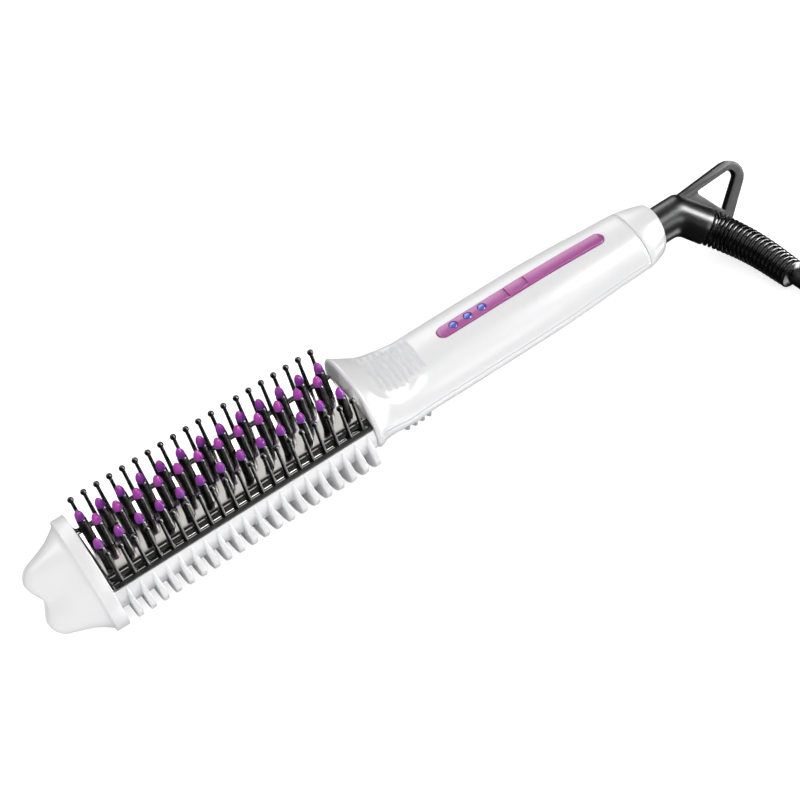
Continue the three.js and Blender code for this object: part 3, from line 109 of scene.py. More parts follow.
FUSE_Y = PIN_ROW_Y + 10.5

# The swivel elbow lies in a plane that holds its stem's axis and dips 38 degrees
DIP = math.radians(38)
OUTWARD = Vector((0, -math.cos(DIP), -math.sin(DIP)))


# Sizes and colours that a user would change


def length_property(label, use, size, low, high):
    """A length in metres, with its limits."""
    return bpy.props.FloatProperty(
        name=label, description=use, default=size, min=low, max=high,
        subtype="DISTANCE", unit="LENGTH")


def hex_to_linear(text):
    """A hex sRGB colour as linear red, green, blue and full alpha."""
    channels = [int(text[i:i + 2], 16) / 255 for i in (1, 3, 5)]
    linear = [c / 12.92 if c <= 0.04045 else ((c + 0.055) / 1.055) ** 2.4 for c in channels]
    return (*linear, 1.0)


def colour_property(label, text, use):
    """A colour with its default from a hex value."""
    return bpy.props.FloatVectorProperty(
        name=label, description=use, size=4, min=0.0, max=1.0,
        subtype="COLOR", default=hex_to_linear(text))


class CombSizes(bpy.types.PropertyGroup):
    """Sizes of the comb's repeated details, in metres"""

    pin_pitch: length_property(
        "Pin pitch", "From one edge pin to the next", 0.006, 0.003, 0.012)
    pin_diameter: length_property(
        "Pin diameter", "Shaft of an edge pin", 0.0015, 0.0008, 0.003)
    ball_diameter: length_property(
        "Ball diameter", "Ball on an edge pin", 0.0027, 0.001, 0.004)
    bristle_pitch: length_property(
        "Bristle pitch", "From one thick bristle to the next", 0.00943, 0.006, 0.015)
    bristle_diameter: length_property(
        "Bristle diameter", "Shaft of a thick bristle", 0.0043, 0.002, 0.005)
    tip_length: length_property(
        "Tip length", "Soft tip of a thick bristle", 0.0054, 0.002, 0.009)
    groove_depth: length_property(
        "Groove depth", "Grooves of the thumb rest", 0.0019, 0.0, 0.0025)
    cord_diameter: length_property(
        "Lead diameter", "Outside of the mains lead", 0.007, 0.005, 0.009)


class CombColours(bpy.types.PropertyGroup):
    """Colours of the comb's materials"""

    shell: colour_property("Shell", "#F1F1F2", "Moulded white shells")
    nylon: colour_property("Comb black", "#050505", "Pins, strips and bristles")
    tip_lit_top: colour_property("Tip, light", "#B046A8", "Soft tips, near the top")
    # the soft tips' two colours paint a highlight at the top and shade at the root
    tip_shaded_root: colour_property("Tip, dark", "#6B2F9A", "Soft tips, near the bristle")
    acrylic: colour_property("Control strip", "#B55BA2", "Tinted control strip")
    window: colour_property("Windows", "#5563C4", "Indicator windows")
    plate: colour_property("Heated plate", "#D9D6D1", "Polished plate between the bristles")
    elbow: colour_property("Swivel", "#121213", "Swivel elbow and hanging loop")
    rubber: colour_property("Lead", "#0B0B0B", "Lead and strain relief")


# Materials


def new_material(name):
    """A node material with its shader and output only."""
    material = bpy.data.materials.new(name)
    material.use_nodes = True
    tree = material.node_tree
    tree.nodes.clear()
    output = tree.nodes.new("ShaderNodeOutputMaterial")
    shader = tree.nodes.new("ShaderNodeBsdfPrincipled")
    tree.links.new(shader.outputs["BSDF"], output.inputs["Surface"])
    return material, tree, shader


def add_node(tree, kind, settings=None, **inputs):
    """A node with its settings, and its inputs as values or as sockets to link from."""
    node = tree.nodes.new(kind)
    for key, value in (settings or {}).items():
        setattr(node, key, value)
    for key, value in inputs.items():
        socket = node.inputs[int(key[1:])] if key[0] == "_" else node.inputs[key.replace("_", " ")]
        if isinstance(value, bpy.types.NodeSocket):
            tree.links.new(value, socket)
        else:
            socket.default_value = value
    return node


def grain(tree, cells, stretch=(1, 1, 1), detail=2.0):
    """Noise on Object coordinates, with so many cells to the metre."""
    place = add_node(tree, "ShaderNodeTexCoord")
    mapped = add_node(tree, "ShaderNodeMapping", Vector=place.outputs["Object"], Scale=stretch)
    return add_node(
        tree, "ShaderNodeTexNoise", Vector=mapped.outputs["Vector"],
        Scale=cells, Detail=detail, Roughness=0.55)


def roughen(tree, shader, noise, low, high):
    """Roughness that wanders between two values with the noise."""
    spread = add_node(
        tree, "ShaderNodeMapRange", Value=noise.outputs["Fac"], From_Min=0.3, From_Max=0.7,
        To_Min=low, To_Max=high)
    tree.links.new(spread.outputs["Result"], shader.inputs["Roughness"])


def bump(tree, shader, height, depth, strength):
    """A bump of the given depth in metres."""
    node = add_node(tree, "ShaderNodeBump", Height=height, Distance=depth, Strength=strength)
    tree.links.new(node.outputs["Normal"], shader.inputs["Normal"])


def tinted(tree, shader, noise, colour, shift):
    """The base colour, a little darker where the noise is low."""
    dark = [c * (1 - shift) for c in colour[:3]] + [1.0]
    ramp = add_node(
        tree, "ShaderNodeMix", {"data_type": "RGBA"}, _0=noise.outputs["Fac"], _6=dark,
        _7=colour)
    tree.links.new(ramp.outputs[2], shader.inputs["Base Color"])


def worked_surface(name, colour, shift, rough, cells, detail=2.0, stretch=(1, 1, 1), ior=None):
    """A material whose colour and roughness wander together, over cells to the metre."""
    material, tree, shader = new_material(name)
    noise = grain(tree, cells, stretch, detail)
    tinted(tree, shader, noise, colour, shift)
    roughen(tree, shader, noise, *rough)
    if ior:
        shader.inputs["IOR"].default_value = ior
    return material, tree, shader, noise


def moulded_plastic(name, colour, rough, wander=0.06, texture=0.3, shift=0.12):
    """Injection moulded plastic: even colour, a soft gloss, and a faint waviness."""
    # flow marks about 4 mm across
    material, tree, shader, _ = worked_surface(
        name, colour, shift, (rough - wander, rough + wander), 250, ior=1.5)
    # the mould's fine texture is drawn 0.4 mm coarse, so that it shows
    fine = grain(tree, 2500, detail=4.0)
    bump(tree, shader, fine.outputs["Fac"], 0.00002, texture)
    return material


def white_abs(colours):
    """ABS from a polished mould: bright white with a soft broad gloss."""
    return moulded_plastic("glossy_white_abs", colours.shell, 0.34, 0.03, 0.1, 0.012)


def black_nylon(colours):
    """Nylon from a turned and polished mould: deep black. The fine marks run round pins and
    bristles, so each highlight is drawn out into one long streak down the shaft."""
    # flow marks about 4 mm across
    material, tree, shader, _ = worked_surface(
        "polished_black_nylon", colours.nylon, 0.2, (0.3, 0.35), 250, ior=1.53)
    upward = add_node(tree, "ShaderNodeCombineXYZ", Z=1.0)
    tree.links.new(upward.outputs["Vector"], shader.inputs["Tangent"])
    shader.inputs["Anisotropic"].default_value = 0.95
    return material


def satin_black(colours):
    """Satin moulded nylon: near black that turns grey where a lamp faces it."""
    return moulded_plastic("satin_black_nylon", colours.elbow, 0.32, 0.03, 0.15, 0.15)


def soft_silicone(colours):
    """Silicone with painted shade: the tips' colour is lighter at the top and darker towards the
    root, as light from above would fall on them.
    """
    material, tree, shader = new_material("purple_silicone")
    place = add_node(tree, "ShaderNodeTexCoord")
    split = add_node(tree, "ShaderNodeSeparateXYZ", Vector=place.outputs["Object"])
    # clouds about 1 mm across
    noise = grain(tree, 900)
    # the tips stand between 46 and 54 mm above the table
    height = add_node(
        tree, "ShaderNodeMapRange", Value=split.outputs["Z"], From_Min=0.0455, From_Max=0.0525)
    wobble = add_node(
        tree, "ShaderNodeMath", {"operation": "MULTIPLY_ADD"}, _0=noise.outputs["Fac"], _1=0.5,
        _2=height.outputs["Result"])
    shifted = add_node(
        tree, "ShaderNodeMath", {"operation": "SUBTRACT", "use_clamp": True},
        _0=wobble.outputs["Value"], _1=0.25)
    # painted shade: the dark colour at the tip's root, the light one at its top
    mix = add_node(
        tree, "ShaderNodeMix", {"data_type": "RGBA"}, _0=shifted.outputs["Value"],
        _6=colours.tip_shaded_root, _7=colours.tip_lit_top)
    tree.links.new(mix.outputs[2], shader.inputs["Base Color"])
    roughen(tree, shader, noise, 0.38, 0.5)
    shader.inputs["IOR"].default_value = 1.42
    return material


def tinted_acrylic(colours):
    """Polished acrylic, tinted through: a wet gloss over a colour that clouds slightly."""
    # clouds about 12 mm long, drawn out along the strip as the melt flowed
    return worked_surface(
        "purple_acrylic", colours.acrylic, 0.22, (0.22, 0.3), 160, stretch=(0.5, 1, 1),
        ior=1.49)[0]


def window_plastic(colours):
    """Clear blue polycarbonate over a lamp: it glows faintly from inside."""
    material, _, shader, _ = worked_surface(
        "blue_polycarbonate", colours.window, 0.3, (0.1, 0.2), 1400, ior=1.58)
    shader.inputs["Emission Color"].default_value = colours.window
    shader.inputs["Emission Strength"].default_value = 0.12
    return material


def ground_metal(name, colour, shift, rough, cells, stretch, depth):
    """Metal with the marks of its working as grain, which breaks its bright sheen."""
    material, tree, shader, noise = worked_surface(
        name, colour, shift, rough, cells, detail=3.0, stretch=stretch)
    bump(tree, shader, noise.outputs["Fac"], depth, 0.3)
    shader.inputs["Metallic"].default_value = 1.0
    return material


def bright_plate(colours):
    """Aluminium ground along its length and polished: it mirrors the black bristles, and
    gleams between them."""
    # grinding lines 0.5 mm apart and 20 mm long, drawn coarse so that they show
    return ground_metal(
        "polished_aluminium", colours.plate, 0.14, (0.07, 0.14), 2000, (0.025, 1, 1), 0.000005)


def sheet_metal(name, text, rough, stretch=(1, 1, 1)):
    """Plated or drawn metal: a bright sheen over the grain of rolling, 0.7 mm across."""
    return ground_metal(
        name, hex_to_linear(text), 0.12, (rough - 0.07, rough + 0.07), 1500, stretch, 0.00002)


def pvc_rubber(colours, name="black_pvc", rough=0.43):
    """PVC: black with a faint wander in its gloss, matte where extruded, glossy where moulded."""
    material, tree, shader, _ = worked_surface(
        name, colours.rubber, 0.25, (rough - 0.06, rough + 0.06), 400, detail=3.0, ior=1.52)
    # the grain of the skin, 0.3 mm across
    bump(tree, shader, grain(tree, 3000).outputs["Fac"], 0.00003, 0.4)
    return material


# Plain finishes of pieces that are small or hidden: colour, roughness and texture's depth.
# Mica paper is dull and flaky, polyimide film slick, fired ceramic chalky, solder mask glassy,
# moulded and sleeved plastics soft, the light grey nubs dry, and the strap's weave rough.
PLAIN = {
    "mica_paper": ("#A6967A", 0.65, 0.8),
    "amber_polyimide_film": ("#B8761F", 0.22, 0.1),
    "fired_ceramic": ("#8C8983", 0.55, 0.8),
    "green_solder_mask": ("#1C6A3A", 0.34, 0.5),
    "grey_abs": ("#55585C", 0.5, 0.5),
    "beige_polyester_box": ("#D6CBA8", 0.45, 0.5),
    "red_silicone_sleeve": ("#A33024", 0.45, 0.3),
    "blue_silicone_sleeve": ("#2A5CAD", 0.45, 0.3),
    "light_grey_nubs": ("#B4B6B8", 0.6, 0.5),
    "woven_grey_strap": ("#3E4145", 0.8, 1.0),
    "black_polypropylene": ("#121213", 0.38, 0.6),
}

# The finishes that show, and the metals: the function that makes each from the colours
MAKERS = {
    "white_abs": white_abs,
    "black_nylon": black_nylon,
    "satin_black": satin_black,
    "silicone": soft_silicone,
    "acrylic": tinted_acrylic,
    "window": window_plastic,
    "plate": bright_plate,
    "pvc": pvc_rubber,
    "pvc_gloss": lambda colours: pvc_rubber(colours, "moulded_black_pvc", 0.26),
    "steel": lambda _: sheet_metal("zinc_plated_steel", "#BEC1C5", 0.3),
    "brass": lambda _: sheet_metal("drawn_brass", "#C9A552", 0.26, (1, 1, 0.1)),
    "aluminium": lambda _: sheet_metal("rolled_aluminium", "#C8C9CB", 0.35, (0.05, 1, 1)),
}
MATERIALS = {}


def material(key):
    """The keyed material, made the first time that a piece asks for it."""
    if key not in MATERIALS:
        if key in PLAIN:
            text, rough, texture = PLAIN[key]
            MATERIALS[key] = moulded_plastic(key, hex_to_linear(text), rough, texture=texture)
        else:
            MATERIALS[key] = MAKERS[key](bpy.context.scene.comb_colours)
    return MATERIALS[key]


# Mesh tools


def size_of(name):
    """A size that the user can change, in millimetres."""
    return getattr(bpy.context.scene.comb_sizes, name) / MM


def finish_piece(bm, name, body, key, replaces=()):
    """Turns a bmesh in millimetres into a shaded object that rides on a body."""
    bmesh.ops.scale(bm, vec=(MM, MM, MM), verts=bm.verts)
    bmesh.ops.recalc_face_normals(bm, faces=bm.faces)
    mesh = bpy.data.meshes.new(name)
    bm.to_mesh(mesh)
    bm.free()
    mesh.shade_smooth()
    piece = bpy.data.objects.new(name, mesh)
    bpy.context.scene.collection.objects.link(piece)
    mesh.materials.append(material(key))
    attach(piece, body)
    if replaces:
        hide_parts(*replaces)
    return piece


def crisp(piece, degrees):
    """Flat faces stay flat: edges sharper than the angle are drawn sharp."""
    for edge in piece.data.edges:
        edge.use_edge_sharp = False
    piece.data.set_sharp_from_angle(angle=math.radians(degrees))
    return piece


def cut_with(piece, bm):
    """Cuts the shape in bm, in millimetres, out of the piece."""
    bmesh.ops.scale(bm, vec=(MM, MM, MM), verts=bm.verts)
    bmesh.ops.recalc_face_normals(bm, faces=bm.faces)
    mesh = bpy.data.meshes.new("cutter")
    bm.to_mesh(mesh)
    bm.free()
    cutter = bpy.data.objects.new("cutter", mesh)
    bpy.context.scene.collection.objects.link(cutter)
    modifier = piece.modifiers.new("cut", "BOOLEAN")
    modifier.operation = "DIFFERENCE"
    modifier.solver = "EXACT"
    modifier.object = cutter
    graph = bpy.context.evaluated_depsgraph_get()
    baked = bpy.data.meshes.new_from_object(piece.evaluated_get(graph))
    baked.name = piece.name
    piece.modifiers.clear()
    piece.data = baked
    bpy.data.objects.remove(cutter)
    return piece


def add_drill(bm, place, radius, depth, sides):
    """An upright cylinder, to cut a round hole with."""
    bmesh.ops.create_cone(
        bm, cap_ends=True, segments=sides, radius1=radius, radius2=radius, depth=depth,
        matrix=Matrix.Translation(place))


def loft(bm, rings, caps=True):
    """A skin through rings of points that match one to one. The first ring is a circle whose
    points are set, and each next one is pulled out of the last."""
    verts = bmesh.ops.create_circle(bm, segments=len(rings[0]), radius=1)["verts"]
    for number, ring in enumerate(rings):
        if number:
            made = bmesh.ops.extrude_edge_only(bm, edges=edges)["geom"]
            fresh = {g for g in made if isinstance(g, bmesh.types.BMVert)}
            verts = [
                next(e.other_vert(v) for e in v.link_edges if e.other_vert(v) in fresh)
                for v in verts]
        for vert, point in zip(verts, ring):
            vert.co = point
        edges = [bm.edges.get(pair) for pair in zip(verts, [*verts[1:], verts[0]])]
        if caps and number in (0, len(rings) - 1):
            bmesh.ops.contextual_create(bm, geom=edges)


def turned(bm, profile, x, y, steps):
    """A profile of (radius, height) spun about an upright axis at (x, y)."""
    verts = [bm.verts.new((x + radius, y, z)) for radius, z in profile]
    edges = [bm.edges.new(pair) for pair in zip(verts, verts[1:])]
    bmesh.ops.spin(
        bm, geom=verts + edges, cent=(x, y, 0), axis=(0, 0, 1), dvec=(0, 0, 0),
        angle=2 * math.pi, steps=steps, use_merge=True)
    bmesh.ops.remove_doubles(bm, verts=bm.verts, dist=1e-4)


def repeat_along_x(bm, pitch, count):
    """Copies what is in bm along X, count in all."""
    first = list(bm.verts) + list(bm.edges) + list(bm.faces)
    for i in range(1, count):
        copy = bmesh.ops.duplicate(bm, geom=first)["geom"]
        verts = [g for g in copy if isinstance(g, bmesh.types.BMVert)]
        bmesh.ops.translate(bm, verts=verts, vec=(pitch * i, 0, 0))


def add_box(bm, x0, x1, y0, y1, z0, z1):
    """A box between two corners."""
    verts = bmesh.ops.create_cube(bm, size=1)["verts"]
    bmesh.ops.scale(bm, vec=(x1 - x0, y1 - y0, z1 - z0), verts=verts)
    bmesh.ops.translate(
        bm, vec=((x0 + x1) / 2, (y0 + y1) / 2, (z0 + z1) / 2), verts=verts)


def smooth_step(value, low, high):
    """0 before low, 1 after high, and a smooth climb between."""
    t = min(max((value - low) / (high - low), 0.0), 1.0)
    return t * t * (3 - 2 * t)


def spaced(first, last, count):
    """Evenly spaced numbers, both ends included."""
    return [first + (last - first) * i / (count - 1) for i in range(count)]


def circle(centre, radius, across, up, sides):
    """Points round a centre, from across towards up."""
    turns = [2 * math.pi * k / sides for k in range(sides)]
    return [centre + (across * math.cos(t) + up * math.sin(t)) * radius for t in turns]


def curve_through(points, per_span):
    """A smooth centripetal curve through the points, as closely spaced points."""
    pts = [Vector(p) for p in points]
    pts = [2 * pts[0] - pts[1], *pts, 2 * pts[-1] - pts[-2]]
    line = []
    for p0, p1, p2, p3 in zip(pts, pts[1:], pts[2:], pts[3:]):
        knots = [0.0]
        for a, b in ((p0, p1), (p1, p2), (p2, p3)):
            knots.append(knots[-1] + math.sqrt(max((b - a).length, 1e-6)))
        for i in range(per_span):
            t = knots[1] + (knots[2] - knots[1]) * i / per_span

            def between(a, b, ka, kb, t=t):
                return a * ((kb - t) / (kb - ka)) + b * ((t - ka) / (kb - ka))

            a1 = between(p0, p1, knots[0], knots[1])
            a2 = between(p1, p2, knots[1], knots[2])
            a3 = between(p2, p3, knots[2], knots[3])
            b1 = between(a1, a2, knots[0], knots[2])
            b2 = between(a2, a3, knots[1], knots[3])
            line.append(between(b1, b2, knots[1], knots[2]))
    line.append(pts[-2])
    return line


def tube_rings(line, radii, sides):
    """Rings of points round a line that is nowhere upright."""
    rings = []
    ends = [line[0], *line, line[-1]]
    for point, before, after, radius in zip(line, ends, ends[2:], radii):
        along = (after - before).normalized()
        across = along.cross(Vector((0, 0, 1))).normalized()
        rings.append(circle(point, radius, -across, across.cross(along), sides))
    return rings


# Handle form


def handle_value(column, x):
    """A value of the handle's stations at x, on a smooth curve through them."""
    last = len(HANDLE) - 1
    i = max(k for k in range(last) if HANDLE[k][0] <= x or k == 0)
    before, a, b, after = (HANDLE[min(max(n, 0), last)] for n in (i - 1, i, i + 1, i + 2))
    span = b[0] - a[0]
    t = (x - a[0]) / span
    slope_a = 0 if a is before else (b[column] - before[column]) / (b[0] - before[0]) * span
    slope_b = 0 if b is after else (after[column] - a[column]) / (after[0] - a[0]) * span
    return (
        (2 * t**3 - 3 * t**2 + 1) * a[column] + (t**3 - 2 * t**2 + t) * slope_a
        + (3 * t**2 - 2 * t**3) * b[column] + (t**3 - t**2) * slope_b)


def handle_top(x):
    """Height of the handle's crown at x."""
    return handle_value(1, x) + handle_value(2, x)


def handle_point(x, turn, inset=0.0):
    """A point of the handle's outside at x, at an angle from +Y towards the crown."""
    half = handle_value(2, x)
    wide = half * handle_value(3, x) - inset
    return Vector((
        x, wide * math.cos(turn), handle_value(1, x) + (half - inset) * math.sin(turn)))


# The camera and the lead


def studio_camera():
    """The camera at the photograph's place and angle."""
    data = bpy.data.cameras.new("camera")
    data.lens = 97.454
    data.sensor_width = 36.0
    data.clip_start, data.clip_end = 0.05, 20.0
    camera = bpy.data.objects.new("camera", data)
    bpy.context.scene.collection.objects.link(camera)
    right = Vector((0.8304427, -0.5125985, -0.2181920))
    down = Vector((-0.5206006, -0.5745955, -0.6315181))
    forward = Vector((0.1983431, 0.6380305, -0.7440277))
    turn = Matrix((right, -down, -forward)).transposed().to_4x4()
    camera.matrix_world = Matrix.Translation((-0.032903, -0.578318, 0.688449)) @ turn
    bpy.context.scene.camera = camera


def coil_point(turns):
    """A point of the coil's line: in along the lower layer, and out again on the upper."""
    per_layer = COIL_TURNS / 2
    half_span = per_layer * COIL_PITCH / 2
    share = turns / per_layer
    inward = share if share <= 1 else 2 - share
    radius = COIL_MID_RADIUS + half_span - inward * 2 * half_span
    climb = min(max((turns - per_layer + 0.25) / 0.5, 0), 1)
    angle = -math.pi / 2 + turns * 2 * math.pi
    return Vector((
        COIL_CENTRE[0] + radius * math.cos(angle),
        COIL_CENTRE[1] + radius * math.sin(angle),
        COIL_LOW_Z + COIL_PITCH * climb))


def lead_line():
    """The whole lead from the strain relief to the plug, in millimetres."""
    steps = round(COIL_TURNS * 60)
    coil = [coil_point(COIL_TURNS * i / steps) for i in range(steps + 1)]
    return [*curve_through(CORD_POINTS, 6), *coil, *curve_through(TAIL_POINTS, 6)]


class COMB_OT_camera(bpy.types.Operator):
    """Places the camera at the photograph's viewing angle"""

    bl_idname = "comb.camera"
    bl_label = "Camera"

    def execute(self, context):
        studio_camera()
        return {"FINISHED"}


class COMB_OT_lead(bpy.types.Operator):
    """Lays the mains lead from the strain relief through its coil to the plug"""

    bl_idname = "comb.lead"
    bl_label = "Mains lead"

    def execute(self, context):
        diameter = context.scene.comb_sizes.cord_diameter
        line = [p * MM for p in lead_line()]
        data = bpy.data.curves.new("power_lead", "CURVE")
        data.dimensions = "3D"
        data.bevel_depth = diameter / 2
        data.bevel_resolution = 5
        data.use_fill_caps = True
        spline = data.splines.new("POLY")
        spline.points.add(len(line) - 1)
        for point, place in zip(spline.points, line):
            point.co = (*place, 1)
        spline.use_smooth = True
        lead = bpy.data.objects.new("power_lead", data)
        context.scene.collection.objects.link(lead)
        data.materials.append(material("pvc"))
        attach(lead, "cord_end")
        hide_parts("power_cord", "cord_coil", "cord_tail")
        return {"FINISHED"}


# Nose and head


ROUND_SIDES = 96
NOSE_X = -3
NOSE_LENGTH = 21.8
NOSE_RADIUS = 24.2
NOSE_FILLET = 5.5
NOSE_HOLLOW = 3.6


def nose_ring(x, share):
    """The nose's four-lobed section, share of the way to its tip."""
    start = 1 - NOSE_FILLET / NOSE_LENGTH
    late = max(0.0, (share - start) / (1 - start))
    fillet = NOSE_FILLET * (1 - math.sqrt(max(0.0, 1 - late * late)))
    ridge = NOSE_RADIUS * (1 - 0.27 * share**1.3) - fillet
    valley = 0.36 * math.sin(math.pi / 2 * share)
    points = []
    for k in range(ROUND_SIDES):
        turn = 2 * math.pi * k / ROUND_SIDES
        lobe = (1 - math.cos(4 * turn)) / 2
        radius = ridge * (1 - valley * lobe)
        points.append(Vector((
            x + NOSE_HOLLOW * lobe * late**2, radius * math.cos(turn),
            max(HEAD_Z + radius * math.sin(turn), 0.0))))
    return points


def nose_dish(inward, radius):
    """A ring on the nose's end, inward from its edge to the hollow in the middle."""
    tip = NOSE_X - NOSE_LENGTH
    ring = []
    for point in nose_ring(tip, 0.998):
        out = Vector((0, point.y, point.z - HEAD_Z))
        reach = out.length + (radius - out.length) * inward
        x = point.x + (tip + NOSE_HOLLOW - point.x) * smooth_step(inward, 0, 1)
        ring.append(Vector((x, 0, HEAD_Z)) + out.normalized() * reach)
    return ring


def flange_ring(x, radius):
    """A circle round the head's axis, flat where it would pass below the table."""
    ring = circle(
        Vector((x, 0, HEAD_Z)), radius, Vector((0, 1, 0)), Vector((0, 0, 1)), ROUND_SIDES)
    return [Vector((x, p.y, max(p.z, 0.0))) for p in ring]


def build_nose():
    """The lobed nose and the flange that the comb lies on."""
    shares = [0, 0.12, 0.25, 0.4, 0.55, 0.68, 0.76, 0.83, 0.88, 0.92, 0.95, 0.975, 0.99, 0.998]
    rings = [nose_dish(1, radius) for radius in (0.8, 2.5, 4.5)]
    rings += [nose_dish(share, 6.5) for share in (1, 0.85, 0.7, 0.55, 0.4, 0.28, 0.16, 0.07)]
    rings += [nose_ring(NOSE_X - NOSE_LENGTH * s, s) for s in reversed(shares)]
    # the flange's rounded rim, its back, and the hollow boss that goes into the head
    rings += [flange_ring(x, r) for x, r in (
        (-3, 24.9), (-2.95, 25.4), (-2.8, 25.7), (-2.5, 25.8), (2.5, 25.8), (2.8, 25.7),
        (2.95, 25.45), (3, 25), (3, 22.5), (3, 20), (3, 17.5), (2.6, 17), (-1, 16.5), (-1, 8))]
    bm = bmesh.new()
    loft(bm, rings)
    return finish_piece(bm, "nose_with_flange", "comb", "white_abs", ["nose_cap"])


CORE_RADIUS = 18.9
CORE_INSIDE = 17.0
RIB_REACH = 6.7
RIB_ENDS = 98  # degrees from straight down to where a rib fades out
RIB_PITCH = 6


def rib_ring(x, degrees):
    """A rib's section at an angle round the head: thin at its ends, full underneath."""
    turn = math.radians(degrees)
    from_end = RIB_ENDS - abs(degrees + 90)
    radius = CORE_RADIUS + RIB_REACH * smooth_step(from_end, 0, 34)
    half = 0.55 + 0.65 * smooth_step(from_end, 0, 26)
    edge = min(0.45, half * 0.6)
    side = [
        (half, 17.6), (half, 18.8), (half, radius - edge),
        (half - 0.3 * edge, radius - 0.3 * edge), (half - edge, radius)]
    points = [(-dx, r) for dx, r in side] + side[::-1]
    return [
        Vector((x + dx, r * math.cos(turn), max(HEAD_Z + r * math.sin(turn), 0.0)))
        for dx, r in points]


def build_head_shell():
    """The half-round core of the head, with its cooling ribs."""
    bm = bmesh.new()
    arcs = spaced(math.radians(-190), math.radians(10), 65)

    def core(x, radius):
        return [Vector((x, radius * math.cos(a), HEAD_Z + radius * math.sin(a))) for a in arcs]

    loft(bm, [
        core(x, CORE_RADIUS) + core(x, CORE_INSIDE)[::-1] for x in (3.3, 3.8, 125.7, 126.2)])
    for i in range(PINS):
        x = FIRST_PIN_X + RIB_PITCH * i
        loft(bm, [rib_ring(x, degrees) for degrees in spaced(8, -188, 67)])
    piece = finish_piece(bm, "head_shell_ribs", "comb", "white_abs", ["head_shell"])
    return crisp(piece, 50)


FIRST_BRISTLE_X = 7.84
# Each row of bristles: name, shift in pitches, count, y, and tip height over the head's axis
BRISTLE_ROWS = [
    ("front", 0, 13, -8.85, 25.9), ("middle", 0.5, 12, 0, 28.9), ("back", 0, 13, 8.85, 25.9)]
# Half section of the heated plate: distance from the middle, and height over the head's axis
PLATE = [
    (0, 9.5), (3, 9.42), (6, 9.2), (9, 8.85), (11, 8.5), (12.4, 8.2), (13.6, 7.87), (14.5, 7.5),
    (15, 7.0), (15.3, 6.1), (15.6, 5.2), (16.2, 4.56), (17.2, 3.85), (18.2, 3.08),
]
PLATE_INSIDE = 27.5
PLATE_INSIDE_TOP = 8.0


def plate_height(y):
    """Height of the plate's outside at y."""
    for (y0, z0), (y1, z1) in zip(PLATE, PLATE[1:]):
        if abs(y) <= y1:
            return HEAD_Z + z0 + (z1 - z0) * (abs(y) - y0) / (y1 - y0)
    return HEAD_Z


def build_plate():
    """The arched heated plate, with a hole for each bristle."""
    half = curve_through([(0, y, HEAD_Z + z) for y, z in PLATE], 4)
    outline = [Vector((0, -p.y, p.z)) for p in reversed(half[1:])] + half
    reach = math.asin(PLATE[-1][0] / PLATE_INSIDE)
    centre = HEAD_Z + PLATE_INSIDE_TOP - PLATE_INSIDE

    def section(x, shrink):
        outside = [Vector((x, p.y, p.z - shrink)) for p in outline]
        inside = [
            Vector((x, PLATE_INSIDE * math.sin(t), centre + PLATE_INSIDE * math.cos(t)))
            for t in spaced(reach, -reach, 41)]
        return outside + inside

    first, last = STRIP_X
    bm = bmesh.new()
    loft(bm, [section(x, s) for x, s in (
        (first, 0.3), (first + 0.3, 0), (45, 0), (88, 0), (last - 0.3, 0), (last, 0.3))])
    piece = finish_piece(bm, "heated_plate", "comb", "plate", ["heat_plate"])
    holes = bmesh.new()
    for _, shift, count, y, _ in BRISTLE_ROWS:
        for i in range(count):
            x = FIRST_BRISTLE_X + size_of("bristle_pitch") * (shift + i)
            add_drill(holes, (x, y, plate_height(y)), 2.25, 12, 20)
    return crisp(cut_with(piece, holes), 30)


STRIP_TILT = math.radians(31)
STRIP_Y = 15.8
STRIP_Z = HEAD_Z + 6.2
STRIP_THICK = 1.6
# Across the strip: its lower rail, the windows, and its upper rail
STRIP_ROWS = [-3.7, -1.75, -0.15, 1.5]
WINDOW_HALF = 1.9
PIN_Y = 17.2
BALL_Z = HEAD_Z + 24


def pin_profile(base):
    """Half section of an edge pin: a slim shaft with a ball on top."""
    shaft, ball = size_of("pin_diameter") / 2, size_of("ball_diameter") / 2
    arc = [
        (ball * math.sin(a), BALL_Z - ball * math.cos(a))
        for a in spaced(math.asin(min(1, shaft / ball)), math.pi, 9)]
    return [(0, base), (shaft * 1.3, base), (shaft * 1.15, base + 6), (shaft, BALL_Z - 6), *arc]


